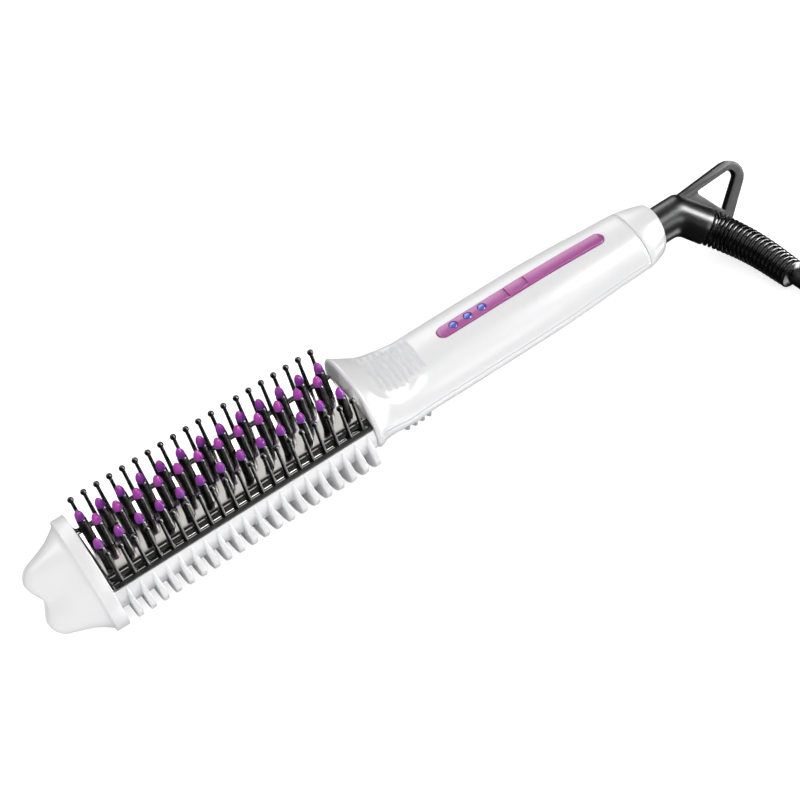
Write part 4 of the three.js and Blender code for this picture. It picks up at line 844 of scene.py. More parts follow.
def build_comb_strip(name, side):
    """A ladder-like strip with its row of ball-tipped pins, on the side of +Y or -Y."""
    pitch = size_of("pin_pitch")
    columns = [STRIP_X[0]]
    for i in range(PINS + 1):
        middle = FIRST_PIN_X + pitch * (i - 0.5)
        columns += [middle - WINDOW_HALF, min(middle + WINDOW_HALF, STRIP_X[1] - 0.8)]
    columns.append(STRIP_X[1])
    across, along = len(STRIP_ROWS) - 1, len(columns) - 1
    bm = bmesh.new()
    bmesh.ops.create_grid(bm, x_segments=along, y_segments=across, size=0.5)
    # every other column is a window, and the first one is open at its end
    open_columns = (0, *range(1, along, 2))
    windows = [
        face for face in bm.faces
        if int((face.calc_center_median().y + 0.5) * across) == 1
        and int((face.calc_center_median().x + 0.5) * along) in open_columns]
    for vert in bm.verts:
        column, row = round((vert.co.x + 0.5) * along), round((vert.co.y + 0.5) * across)
        vert.co = (columns[column], STRIP_ROWS[row], 0)
    bmesh.ops.delete(bm, geom=windows, context="FACES")
    bmesh.ops.recalc_face_normals(bm, faces=bm.faces)
    bmesh.ops.solidify(bm, geom=list(bm.faces), thickness=STRIP_THICK)
    low = min(v.co.z for v in bm.verts)
    bmesh.ops.translate(bm, vec=(0, 0, -STRIP_THICK / 2 - low), verts=bm.verts)
    sharp = [e for e in bm.edges if e.is_manifold and e.calc_face_angle(0) > 1.0]
    bmesh.ops.bevel(
        bm, geom=sharp, offset=0.18, segments=2, profile=0.5, affect="EDGES", material=-1)
    bmesh.ops.rotate(
        bm, verts=bm.verts, cent=(0, 0, 0), matrix=Matrix.Rotation(STRIP_TILT, 3, "X"))
    bmesh.ops.translate(bm, vec=(0, -STRIP_Y, STRIP_Z), verts=bm.verts)
    pins = bmesh.new()
    rail = STRIP_Z + (STRIP_Y - PIN_Y) * math.tan(STRIP_TILT) + 0.4
    turned(pins, pin_profile(rail), FIRST_PIN_X, -PIN_Y, 16)
    repeat_along_x(pins, pitch, PINS)
    spare = bpy.data.meshes.new("pins")
    pins.to_mesh(spare)
    pins.free()
    bm.from_mesh(spare)
    bpy.data.meshes.remove(spare)
    bmesh.ops.scale(bm, vec=(1, -side, 1), verts=bm.verts)
    piece = finish_piece(
        bm, f"ladder_strip_{name}", "comb", "black_nylon", [f"comb_strip_{name}"])
    return crisp(piece, 40)


# A soft tip's outline: share of the bristle's radius, and height over the bristle's shoulder
TIP_OUTLINE = [
    (0, 0.12), (0.74, 0.12), (0.88, 0.5), (0.9, 1.3), (0.85, 2.4), (0.7, 3.5), (0.46, 4.5),
    (0.2, 5.15)]


def build_bristles():
    """Three rows of thick bristles with their soft tips."""
    radius, pitch = size_of("bristle_diameter") / 2, size_of("bristle_pitch")
    for name, shift, count, y, top in BRISTLE_ROWS:
        tip = HEAD_Z + top
        shoulder = tip - size_of("tip_length")
        foot = plate_height(y) - 2.5
        shaft = [
            (0, foot), (radius, foot), (radius, shoulder - 3), (radius * 0.97, shoulder - 0.5),
            (radius * 0.86, shoulder), (0, shoulder + 0.1)]
        soft = [(radius * share, shoulder + over) for share, over in TIP_OUTLINE] + [(0, tip)]
        for profile, piece, key, node, slot in (
            (shaft, "bristles", "black_nylon", "bristle_row", "comb_black"),
            (soft, "soft_tips", "silicone", "bristle_tips", "tip_purple"),
        ):
            bm = bmesh.new()
            turned(bm, profile, FIRST_BRISTLE_X + pitch * shift, y, 20)
            repeat_along_x(bm, pitch, count)
            finish_piece(bm, f"{piece}_{name}", "comb", key, [f"{node}_{name}"])


class COMB_OT_nose(bpy.types.Operator):
    """Builds the four-lobed nose with its round flange"""

    bl_idname = "comb.nose"
    bl_label = "Nose"

    def execute(self, context):
        build_nose()
        return {"FINISHED"}


class COMB_OT_head(bpy.types.Operator):
    """Builds the ribbed head shell and the heated plate"""

    bl_idname = "comb.head"
    bl_label = "Head shell and plate"

    def execute(self, context):
        build_head_shell()
        build_plate()
        return {"FINISHED"}


class COMB_OT_strips(bpy.types.Operator):
    """Builds the two ladder strips with their ball-tipped pins"""

    bl_idname = "comb.strips"
    bl_label = "Comb strips"

    def execute(self, context):
        build_comb_strip("front", -1)
        build_comb_strip("back", 1)
        return {"FINISHED"}


class COMB_OT_bristles(bpy.types.Operator):
    """Builds the thick bristles and their soft purple tips"""

    bl_idname = "comb.bristles"
    bl_label = "Bristles"

    def execute(self, context):
        build_bristles()
        return {"FINISHED"}


# Handle


GROOVES = 8
GROOVES_X = 136
GROOVE_PITCH = 3
DISH_DEPTH = 0.75
FINE_X = (133, 161)  # where the shells' sections lie close together, for the grooves
LIP = 1.9  # radius of the rounded lip round the neck's opening
WALL = 3.2
SHELL_POINTS = 97
SEAM_GAP = 0.15 / 18  # half the seam's width, as an angle


def scoop(x, turn):
    """How far the thumb rest and its grooves lie below the plain form."""
    off_crown = abs(turn - math.pi / 2)
    side = handle_value(2, x) * handle_value(3, x) * math.sin(min(off_crown, math.pi / 2))
    oval = ((x - 143.5) / 13.5) ** 2 + (side / 15.5) ** 2
    dish = DISH_DEPTH * (1 - smooth_step(oval, 0.72, 1.12))
    phase = (x - GROOVES_X) / GROOVE_PITCH
    if 0 < phase < GROOVES:
        # each groove has a long slope and a steep one, and the middle ones reach furthest round
        number = math.floor(phase)
        part = phase - number
        groove = smooth_step(part, 0, 0.6) * (1 - smooth_step(part, 0.7, 1))
        reach = 12.5 - 0.35 * abs(number - 2.5)
        dish += size_of("groove_depth") * groove * (1 - smooth_step(side, reach - 3, reach))
    return dish


def handle_xs(first, last):
    """Stations along the handle, close together where the grooves are."""
    low, high = FINE_X
    coarse = [x for x in spaced(NECK_X, HANDLE_END_X, 90) if not low < x < high]
    lip = [first + LIP * (1 - math.cos(math.pi / 2 * k / 6)) for k in range(7)]
    web = [first + 2.1, first + 2.15]
    inside = [x for x in coarse + spaced(low, high, 94) if first + 2.2 < x < last - 0.5]
    return sorted(lip + web + inside + [last - 0.25, last])


def seam_turn(x, turn):
    """The angle of a shell's point, lowered near the neck, where the seam runs down."""
    return turn - 0.16 * (1 - smooth_step(x, NECK_X + 4, NECK_X + 28)) * math.cos(turn)


def build_shell(name, node, low, shape):
    """Half of the handle, over half a turn from the angle low. Each section is its outside and
    its inside back. The first two millimetres are a wall across the neck, with a round hole for
    the leads."""
    first, last = NECK_X, HANDLE_END_X
    turns = spaced(low + SEAM_GAP, low + math.pi - SEAM_GAP, SHELL_POINTS)
    rings = []
    for x in handle_xs(first, last):
        back = max(LIP - (x - first), 0.0)
        lip = LIP - math.sqrt(LIP**2 - back**2) + 0.25 * (1 - smooth_step(last - x, 0, 0.3))
        wall = 16.5 if x < first + 2.12 else WALL
        rings.append(
            [handle_point(x, seam_turn(x, turn), shape(x, turn) + lip) for turn in turns]
            + [handle_point(x, seam_turn(x, turn), wall) for turn in reversed(turns)])
    bm = bmesh.new()
    loft(bm, rings)
    return finish_piece(bm, name, "comb", "white_abs", [node])


def seam_drop(from_seam):
    """Each shell's rim rolls in slightly at the seam."""
    return 0.25 * (1 - smooth_step(from_seam, 0.012, 0.05))


def upper_shape(x, turn):
    """Everything that departs from the plain form on the upper shell."""
    return scoop(x, turn) + seam_drop(min(turn, math.pi - turn))


def lower_shape(x, turn):
    """The lower shell is stepped in a little a few millimetres under the seam."""
    below = -turn if turn > -math.pi / 2 else math.pi + turn
    return 0.35 * smooth_step(below, 0.27, 0.31) + seam_drop(below)


def slot_cutter(first, last, half, low, high):
    """A slot with round ends that follows the crown between two depths."""
    ends = [half * (1 - math.cos(math.pi / 2 * i / 8)) for i in range(9)]
    xs = [first + end for end in ends] + spaced(first + half, last - half, 12)[1:-1]
    xs += [last - end for end in reversed(ends)]
    rings = []
    for x in xs:
        edge = min(x - first, last - x)
        wide = half if edge >= half else math.sqrt(max(half**2 - (half - edge) ** 2, 0.02))
        rings.append([
            Vector((x, y, handle_top(x) + z))
            for y, z in ((-wide, low), (wide, low), (wide, high), (-wide, high))])
    bm = bmesh.new()
    loft(bm, rings)
    return bm


def build_upper_shell():
    """The handle's upper shell, with its thumb rest and the slot for the control strip."""
    piece = build_shell("handle_upper_shell", "upper_shell", 0, upper_shape)
    return crisp(cut_with(piece, slot_cutter(171.1, 255.3, 3.45, -4, 2)), 50)


NUBS = 4
NUB_PITCH = 3.6
NUB_TURNS = (-2.74, -0.4)  # from one end of a nub round under the handle to the other
NUB_ROUND = 0.22  # the angle over which each end rises


def add_nubs(piece):
    """Four low ribs in the shell's own mesh, coloured light grey."""
    low, high = NUB_TURNS
    bm = bmesh.new()
    for i in range(NUBS):
        x = 141.4 + NUB_PITCH * i
        rings = []
        for turn in spaced(low, high, 41):
            near = min(max(min(turn - low, high - turn) / NUB_ROUND, 0.0), 1.0)
            proud = math.sqrt(near * (2 - near))
            wide = 0.35 + 0.65 * proud
            side = [(1.2, 1.5), (1, 0.2), (0.6, -0.6 * proud), (0.2, -proud)]
            section = [(-dx, inset) for dx, inset in side] + side[::-1]
            rings.append([handle_point(x + dx * wide, turn, inset) for dx, inset in section])
        loft(bm, rings)
    bmesh.ops.scale(bm, vec=(MM, MM, MM), verts=bm.verts)
    bmesh.ops.recalc_face_normals(bm, faces=bm.faces)
    for face in bm.faces:
        face.material_index = 1
        face.smooth = True
    bm.from_mesh(piece.data)
    bm.to_mesh(piece.data)
    bm.free()
    piece.data.materials.append(material("light_grey_nubs"))


def build_lower_shell():
    """The handle's lower shell, with the four grip nubs under the neck."""
    piece = build_shell("handle_lower_shell", "lower_shell", -math.pi, lower_shape)
    holes = bmesh.new()
    for x, y in ((160, 0), (256.5, 9.5)):
        wide = handle_value(2, x) * handle_value(3, x)
        under = handle_value(1, x) - handle_value(2, x) * math.sqrt(1 - (y / wide) ** 2)
        add_drill(holes, (x, y, under), 2.3, 6, 24)
    piece = cut_with(piece, holes)
    add_nubs(piece)
    return crisp(piece, 50)


def build_end_cap():
    """The end cap, with the round opening that the swivel's stem turns in."""
    first, last = CAP_X
    turns = [2 * math.pi * k / 120 for k in range(120)]

    def leaned(x, points):
        """The ring, with as much of the end's slant as x is on the way to the end."""
        share = (x - first) / (last - first)
        return [p + Vector((CAP_SLANT * share * (p.z - STEM_Z), 0, 0)) for p in points]

    def outside(x, inset):
        return leaned(x, [handle_point(x, t, inset) for t in turns])

    def hole(x, radius):
        return leaned(
            x, [Vector((x, radius * math.cos(t), STEM_Z + radius * math.sin(t))) for t in turns])

    rings = [outside(x, inset) for x, inset in (
        (first, 0.3), (first + 0.1, 0.12), (first + 0.3, 0), (first + 3, 0), (first + 6, 0),
        (last - 2.4, 0), (last - 0.8, 0.02), (last - 0.45, 0.12), (last - 0.2, 0.3),
        (last - 0.05, 0.55), (last, 0.85))]
    rings += [hole(x, radius) for x, radius in (
        (last, 8.95), (last - 0.1, 8.7), (last - 0.5, 8.55), (last - 2.4, 8.55))]
    rings += [[handle_point(x, t, 1.4) for t in turns] for x in (last - 3.8, first)]
    bm = bmesh.new()
    loft(bm, [*rings, rings[0]], caps=False)
    bmesh.ops.remove_doubles(bm, verts=bm.verts, dist=1e-4)
    piece = finish_piece(bm, "handle_end_cap", "comb", "white_abs", ["end_cap"])
    return crisp(piece, 45)


class COMB_OT_handle(bpy.types.Operator):
    """Builds the two handle shells and the end cap"""

    bl_idname = "comb.handle"
    bl_label = "Handle"

    def execute(self, context):
        build_upper_shell()
        build_lower_shell()
        build_end_cap()
        return {"FINISHED"}


# Control strip


WINDOWS_X = [179.3, 186.45, 193.6]


def ribbon(bm, first, last, half, round_first, round_last, proud=0.6, crown=0.25, depth=3.4):
    """A raised strip that follows the handle's crown, rounded along its edges and at the ends
    that are asked for. The other ends are cut square, with a fine slope."""
    quarter = [half * (1 - math.cos(math.pi / 2 * i / 10)) for i in range(11)]
    square = [0, 0.12, 0.3]
    xs = [first + gone for gone in (quarter if round_first else square)]
    xs += [last - gone for gone in (quarter if round_last else square)]
    xs += spaced(first + half, last - half, max(3, round((last - first) / 6)))
    rings = []
    for x in sorted({round(v, 4) for v in xs}):
        wide, drop = half, 0.0
        for gone, is_round in ((x - first, round_first), (last - x, round_last)):
            if is_round and gone < half:
                wide = math.sqrt(max(half**2 - (half - gone) ** 2, 0.01))
            if not is_round and gone < 0.3:
                drop = 0.12 * (1 - gone / 0.3)
        soft = min(0.55, wide * 0.8)
        thin = min(1.0, wide / half + 0.15)
        side = [(wide, -depth)]
        for a in spaced(0, math.pi / 2, 5):
            side.append((
                wide - soft + soft * math.cos(a),
                (proud - soft * 0.8 + soft * 0.8 * math.sin(a)) * thin))
        crest = (0, proud * thin + crown * wide / half)
        points = [(-y, z) for y, z in side] + [crest] + side[::-1]
        rings.append([Vector((x, y, handle_top(x) + z - drop)) for y, z in points])
    loft(bm, rings)


def build_control_strip():
    """The tinted strip in front of and behind the button, with the three windows' holes."""
    bm = bmesh.new()
    ribbon(bm, 171.4, 205.85, 3.15, True, False)
    ribbon(bm, 215.95, 255.0, 3.15, False, True)
    piece = finish_piece(
        bm, "control_strip", "comb", "acrylic", ["light_strip"])
    holes = bmesh.new()
    for x in WINDOWS_X:
        add_drill(holes, (x, 0, handle_top(x) + 1), 2.03, 8, 32)
    return crisp(cut_with(piece, holes), 40)


def build_button():
    """The push button in the strip."""
    bm = bmesh.new()
    ribbon(bm, 206.2, 215.6, 3.05, False, False, proud=0.8, crown=0.2, depth=0.8)
    add_box(bm, 209.2, 212.6, -1.7, 1.7, 31.5, 35.3)
    piece = finish_piece(
        bm, "push_button", "button", "acrylic", ["power_button"])
    return crisp(piece, 40)


def build_windows():
    """Three round windows on the clear bar under the strip."""
    bm = bmesh.new()
    for x in WINDOWS_X:
        top = handle_top(x)
        turned(bm, [
            (0, top - 4), (1.9, top - 4), (1.9, top + 0.45), (1.75, top + 0.65),
            (1.3, top + 0.82), (0.7, top + 0.92), (0, top + 0.96)], x, 0, 32)
    add_box(bm, 177.8, 195.3, -1.5, 1.5, handle_top(186) - 4.9, handle_top(186) - 4.2)
    piece = finish_piece(
        bm, "lit_windows", "comb", "window", ["indicator_windows"])
    return crisp(piece, 40)


class COMB_OT_controls(bpy.types.Operator):
    """Builds the control strip, its push button and its three lit windows"""

    bl_idname = "comb.controls"
    bl_label = "Control strip"

    def execute(self, context):
        build_control_strip()
        build_button()
        build_windows()
        return {"FINISHED"}


# Swivel and strain relief


AHEAD = Vector((1, 0, 0))
ELBOW_TURN = math.radians(53)
ELBOW_LEG = AHEAD * math.cos(ELBOW_TURN) + OUTWARD * math.sin(ELBOW_TURN)
ELBOW_CORNER = Vector((291.48, 0, STEM_Z))
ELBOW_RADIUS = 8.2
BEND = 2.5  # how far before and after the mitre the elbow starts to bend
LEG_LENGTH = 14.88


def build_elbow():
    """The swivel's elbow: a straight stem and leg that meet in a slightly rounded mitre."""
    side = AHEAD.cross(OUTWARD)
    under = ELBOW_LEG.cross(side)
    turned_in = math.tan(ELBOW_TURN / 2)

    def mitre(share):
        """A ring round the bend, share of the way from the stem to the leg."""
        ring = []
        for point in circle(ELBOW_CORNER, ELBOW_RADIUS, OUTWARD, side, 64):
            corner = point - AHEAD * (point - ELBOW_CORNER).dot(OUTWARD) * turned_in
            before, after = corner - AHEAD * BEND, corner + ELBOW_LEG * BEND
            ring.append(before.lerp(corner, share).lerp(corner.lerp(after, share), share))
        return ring

    rings = [
        circle(Vector((x, 0, STEM_Z)), ELBOW_RADIUS, OUTWARD, side, 64)
        for x in (268.1, 272, 278, 283)]
    rings += [mitre(share) for share in spaced(0, 1, 9)]
    rings += [
        circle(ELBOW_CORNER + ELBOW_LEG * run, radius, -under, side, 64)
        for run, radius in (
            (9, ELBOW_RADIUS), (12, ELBOW_RADIUS), (LEG_LENGTH - 0.7, ELBOW_RADIUS),
            (LEG_LENGTH - 0.3, 8.05), (LEG_LENGTH, 7.6))]
    bm = bmesh.new()
    loft(bm, rings)
    piece = finish_piece(
        bm, "swivel_elbow_body", "cord_end", "satin_black", ["swivel_elbow"])
    return crisp(piece, 35)


def rounded_outline(corners, radii, steps=6):
    """Points of a polygon with its corners rounded by the given radii."""
    points = []
    count = len(corners)
    for i, radius in enumerate(radii):
        here = Vector(corners[i])
        back = (Vector(corners[i - 1]) - here).normalized()
        ahead = (Vector(corners[(i + 1) % count]) - here).normalized()
        half = back.angle(ahead) / 2
        reach = radius / math.tan(half)
        centre = here + (back + ahead).normalized() * (radius / math.sin(half))
        start, end = here + back * reach - centre, here + ahead * reach - centre
        sweep = start.angle_signed(end)
        for k in range(steps + 1):
            turned_by = Matrix.Rotation(-sweep * k / steps, 2)
            points.append(centre + turned_by @ start)
    return points


def flat_plate(outlines, thickness, edge):
    """A plate with holes from flat outlines, its edges rounded, as a bmesh in its own plane."""
    data = bpy.data.curves.new("outline", "CURVE")
    data.dimensions = "2D"
    data.fill_mode = "BOTH"
    data.extrude = thickness / 2 - edge
    data.bevel_depth = edge
    data.bevel_resolution = 2
    for outline in outlines:
        spline = data.splines.new("POLY")
        spline.points.add(len(outline) - 1)
        for point, (x, y) in zip(spline.points, outline):
            point.co = (x, y, 0, 1)
        spline.use_cyclic_u = True
    flat = bpy.data.objects.new("outline", data)
    bpy.context.scene.collection.objects.link(flat)
    graph = bpy.context.evaluated_depsgraph_get()
    mesh = bpy.data.meshes.new_from_object(flat.evaluated_get(graph))
    bm = bmesh.new()
    bm.from_mesh(mesh)
    bpy.data.objects.remove(flat)
    bpy.data.meshes.remove(mesh)
    bmesh.ops.remove_doubles(bm, verts=bm.verts, dist=1e-3)
    return bm


def build_loop():
    """The flat hanging loop beside the elbow, in a plane through the stem's axis."""
    outer = rounded_outline(
        [(289, -6), (338, -10), (312.4, 13.9), (305, 11), (297, 4)], [1, 6.2, 1, 2, 1])
    hole = rounded_outline([(302.9, -4.3), (327.9, -5.4), (310.8, 9.8)], [1.3, 2.6, 0.8])
    bm = flat_plate([outer, hole], 5.0, 0.25)
    lean = math.radians(51)
    out = Vector((0, -math.cos(lean), -math.sin(lean)))
    under = Vector((0, math.sin(lean), -math.cos(lean)))
    turn = Matrix((AHEAD, out, under)).transposed().to_4x4()
    bmesh.ops.transform(bm, matrix=Matrix.Translation((0, 0, STEM_Z)) @ turn, verts=bm.verts)
    piece = finish_piece(bm, "hanging_loop", "cord_end", "satin_black", [])
    room = bmesh.new()
    bmesh.ops.create_cone(
        room, cap_ends=True, segments=48, radius1=8.3, radius2=8.3, depth=16,
        matrix=Matrix.Translation(ELBOW_CORNER + ELBOW_LEG * (LEG_LENGTH + 8))
        @ ELBOW_LEG.to_track_quat("Z", "Y").to_matrix().to_4x4())
    return crisp(cut_with(piece, room), 35)


BOOT_RIBS = 20
RIB_STEPS = 12
BOOT_WIDTHS = (16.0, 12.8)


def build_strain_relief():
    """The ribbed boot from the elbow down to the lead."""
    fine = curve_through(BOOT_POINTS, 60)
    runs = [0.0]
    for a, b in zip(fine, fine[1:]):
        runs.append(runs[-1] + (b - a).length)
    first, last = BOOT_WIDTHS
    points, radii = [], []
    k = 0
    for i in range(BOOT_RIBS * RIB_STEPS + 1):
        run = runs[-1] * i / (BOOT_RIBS * RIB_STEPS)
        while k < len(fine) - 2 and runs[k + 1] < run:
            k += 1
        points.append(fine[k].lerp(fine[k + 1], (run - runs[k]) / (runs[k + 1] - runs[k])))
        full = (first + (last - first) * run / runs[-1]) / 2
        # each rib is a rounded ridge, with a narrow square groove before the next
        across = (i % RIB_STEPS) / RIB_STEPS
        ridge = math.sqrt(max(1 - ((across - 0.5) / 0.4) ** 2, 0.0))
        radii.append(full * (0.86 + 0.14 * min(1.0, ridge * 1.15)))
    radii[0] *= 0.97
    radii[-3:] = [6.1, 5.5, 4.6]
    end = tube_rings([points[-2], points[-1] + (points[-1] - points[-2]) * 2], [3.7, 3.7], 48)
    bm = bmesh.new()
    loft(bm, [*tube_rings(points, radii, 48), end[1]])
    piece = finish_piece(
        bm, "ribbed_boot", "cord_end", "pvc_gloss", ["strain_relief"])
    return crisp(piece, 50)


class COMB_OT_swivel(bpy.types.Operator):
    """Builds the swivel elbow, its hanging loop and the ribbed strain relief"""

    bl_idname = "comb.swivel"
    bl_label = "Swivel"

    def execute(self, context):
        build_elbow()
        build_loop()
        build_strain_relief()
        return {"FINISHED"}


# Tie and plug


STRAP_HALF = 4.5
STRAP_AT = math.radians(140)  # where it goes round the coil


def build_tie():
    """The strap round the coil."""
    reach = COIL_TURNS / 4 * COIL_PITCH + 4
    low, high = 1.0, COIL_LOW_Z + COIL_PITCH + 3.8
    corners = [
        (reach - 2, high - 2), (2 - reach, high - 2), (2 - reach, low + 2), (reach - 2, low + 2)]
    outer, inner = (
        [Vector((cx + radius * math.cos(a), 0, cz + radius * math.sin(a)))
         for start, (cx, cz) in enumerate(corners)
         for a in spaced(math.pi / 2 * start, math.pi / 2 * (start + 1), 6)]
        for radius in (3, 2))
    rings = []
    for near, far, side in ((outer, inner, 1), (inner, outer, -1)):
        for y, trim in ((-STRAP_HALF, 0.25), (0.3 - STRAP_HALF, 0), (STRAP_HALF - 0.3, 0),
                        (STRAP_HALF, 0.25)):
            rings.append([a.lerp(b, trim) + Vector((0, y * side, 0)) for a, b in zip(near, far)])
    bm = bmesh.new()
    loft(bm, [*rings, rings[0]], caps=False)
    bmesh.ops.remove_doubles(bm, verts=bm.verts, dist=1e-4)
    bmesh.ops.translate(bm, vec=(COIL_MID_RADIUS, 0, 0), verts=bm.verts)
    bmesh.ops.rotate(
        bm, verts=bm.verts, cent=(0, 0, 0), matrix=Matrix.Rotation(STRAP_AT, 3, "Z"))
    bmesh.ops.translate(bm, vec=(*COIL_CENTRE, 0), verts=bm.verts)
    piece = finish_piece(
        bm, "coil_strap", "cord_end", "woven_grey_strap", ["cord_tie"])
    return crisp(piece, 40)


def plug_outline(inset):
    """The plug's outline, square at the lead's end and round at the other."""
    half, far = 24 - inset, 45 - inset
    corners = [(-half, inset), (half, inset), (half, far), (-half, far)]
    near_round, far_round = max(3 - inset * 0.5, 1), 12 - inset * 0.5
    return rounded_outline(corners, [near_round, near_round, far_round, far_round], 8)


def build_plug_body():
    """The plug's body, stepped in below its rim, with the pocket for the fuse carrier."""
    bm = bmesh.new()
    levels = [
        (4.0, 0.0), (3.0, 0.35), (2.5, 1.2), (2.5, 12.6), (2.2, 13.6), (0.9, 14.6), (0.2, 15.2),
        (0.0, 15.8), (0.0, 19.0), (0.25, 19.6), (0.9, 20.0)]
    rings = [
        [Vector((PLUG_X + x, PLUG_Y + y, z)) for x, y in plug_outline(inset)]
        for inset, z in levels]
    loft(bm, rings)
    piece = finish_piece(
        bm, "plug_moulding", "cord_end", "black_polypropylene", ["plug_body"])
    pocket = bmesh.new()
    add_box(pocket, PLUG_X - 13.8, PLUG_X + 13.8, FUSE_Y - 4.3, FUSE_Y + 4.3, 10, 22)
    return crisp(cut_with(piece, pocket), 35)


def build_plug_pins():
    """The two flat pins and the earth pin, with chamfered ends."""
    pieces = []
    for name, x, y, wide, deep, top, key, slot in (
        ("live", PLUG_X - 11.1, PIN_ROW_Y, 6.3, 4, 37.7, "brass", "brass"),
        ("neutral", PLUG_X + 11.1, PIN_ROW_Y, 6.3, 4, 37.7, "brass", "brass"),
        ("earth", PLUG_X, PIN_ROW_Y + 22.2, 4, 8, 42.7, "black_polypropylene", "component"),
    ):
        bm = bmesh.new()
        loft(bm, [
            [Vector((x + a * (wide / 2 - inset), y + b * (deep / 2 - inset * 0.8), z))
             for a, b in ((-1, -1), (1, -1), (1, 1), (-1, 1))]
            for inset, z in ((0, 14), (0, top - 2.2), (0.3, top - 1.1), (1, top))])
        edges = [e for e in bm.edges if e.calc_face_angle(0) > 1.2]
        bmesh.ops.bevel(
            bm, geom=edges, offset=0.35, segments=2, profile=0.5, affect="EDGES", material=-1)
        piece = finish_piece(
            bm, f"plug_{name}_pin_turned", "cord_end", key, [f"plug_{name}_pin"])
        pieces.append(crisp(piece, 35))
    return pieces


def build_plug_grip():
    """The tapered grip where the lead enters the plug."""
    bm = bmesh.new()
    profile = [
        (0, 0), (4.4, 0), (5.0, 0.5), (5.1, 2), (5.5, 3.4), (5.2, 4), (5.8, 5.2), (5.5, 5.8),
        (6.2, 7), (5.9, 7.6), (6.7, 9), (7.5, 11.6), (7.5, 12), (0, 12)]
    turned(bm, profile, 0, 0, 40)
    bmesh.ops.rotate(
        bm, verts=bm.verts, cent=(0, 0, 0), matrix=Matrix.Rotation(-math.pi / 2, 3, "X"))
    bmesh.ops.translate(bm, vec=(PLUG_X, PLUG_TAIL_Y, 9), verts=bm.verts)
    piece = finish_piece(bm, "plug_lead_grip", "cord_end", "pvc", ["plug_grip"])
    return crisp(piece, 50)


def build_fuse_carrier():
    """The fuse carrier, flush with the plug's face, with a pry notch."""
    bm = bmesh.new()
    add_box(bm, PLUG_X - 13.5, PLUG_X + 13.5, FUSE_Y - 4, FUSE_Y + 4, 17.5, 20)
    bmesh.ops.bevel(
        bm, geom=list(bm.edges), offset=0.3, segments=2, profile=0.5, affect="EDGES",
        material=-1)
    piece = finish_piece(
        bm, "fuse_carrier_lid", "cord_end", "grey_abs", ["plug_fuse_carrier"])
    notch = bmesh.new()
    add_box(notch, PLUG_X + 8, PLUG_X + 11, FUSE_Y - 1.2, FUSE_Y + 1.2, 19.1, 21)
    return crisp(cut_with(piece, notch), 35)


class COMB_OT_plug(bpy.types.Operator):
    bl_idname = "comb.plug"
    bl_label = "Plug and strap"

    def execute(self, context):
        tie, body = build_tie(), build_plug_body()
        pins = build_plug_pins()
        grip, lid = build_plug_grip(), build_fuse_carrier()
        line = lead_line()
        return {"FINISHED"}


# Finishes of the pieces inside


INSIDE = {
    "mica_paper": ["heat_shield"],
    "amber_polyimide_film": ["heater_sleeve"],
    "aluminium": ["electrode_lower", "electrode_upper"],
    "fired_ceramic": [
        "ceramic_stone_1", "ceramic_stone_2", "ceramic_stone_3", "thermistor", "plug_fuse"],
    "blue_silicone_sleeve": ["heater_lead_neutral", "mains_lead_neutral"],
    "red_silicone_sleeve": ["heater_lead_live", "mains_lead_live"],
    "window": ["indicator_led_1", "indicator_led_2", "indicator_led_3"],
    "green_solder_mask": ["circuit_board"],
    "grey_abs": ["tact_switch"],
    "beige_polyester_box": ["film_capacitor", "contact_block"],
    "black_polypropylene": ["power_triac"],
    "brass": ["contact_finger_centre", "contact_finger_outer", "contact_pin", "contact_ring"],
    "steel": [
        "thermal_fuse", "shell_screw_1", "shell_screw_2", "board_screw_1", "board_screw_2",
        "retaining_clip"],
}


class COMB_OT_inside(bpy.types.Operator):
    """Gives the heater, circuit board, swivel contacts and screws their finishes"""

    bl_idname = "comb.inside"
    bl_label = "Pieces inside"

    def execute(self, context):
        for key, names in INSIDE.items():
            for name in names:
                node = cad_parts[name]
                node.data.materials.clear()
                node.data.materials.append(material(key))
        return {"FINISHED"}


# Studio


LAMP_SIZE = 0.6
# The lamps, in metres: name, place, what each points at, and power in watts
LAMPS = [
    ("left_soft_box", (-0.9, -0.5, 0.5), (0.03, 0, 0.02), 2.5),
    ("front_soft_box", (0.35, -1.1, 0.3), (0.2, 0, 0.02), 2.2),
    ("back_soft_box", (0.3, 0.8, 0.9), (0.2, 0, 0.03), 2.0),
]


def area_lamp(name, place, aim, power):
    """A square soft box that points at a place. The backdrop has its own picture of the boxes
    for reflections, so this one only lights."""
    data = bpy.data.lights.new(name, "AREA")
    data.energy = power
    data.size = LAMP_SIZE
    lamp = bpy.data.objects.new(name, data)
    bpy.context.scene.collection.objects.link(lamp)
    lamp.location = place
    lamp.rotation_mode = "QUATERNION"
    lamp.rotation_quaternion = (Vector(aim) - Vector(place)).to_track_quat("-Z", "Y")
    lamp.visible_glossy = False


# Soft boxes as reflections show them: direction, inner and outer angle in degrees, brightness
SOFT_BOXES = [
    ((0.2, -0.91, 0.33), 8, 16, 6.0),
    ((0.2, 0.82, 0.53), 10, 24, 5.0),
    ((0.12, -0.46, 0.88), 9, 14, 0.8),
    ((0.2, 0.38, 0.9), 8, 18, 0.9),
    ((0.26, -0.62, -0.74), 8, 20, 5.0),
    ((0.78, -0.45, -0.43), 7, 14, 36.0),
    ((0.87, -0.5, 0.0), 7, 14, 36.0),
    ((0.78, -0.45, 0.43), 7, 14, 46.0),
    ((0.6, -0.35, 0.72), 7, 14, 40.0),
    ((-0.3, 0.64, 0.71), 8, 20, 5.0),
]


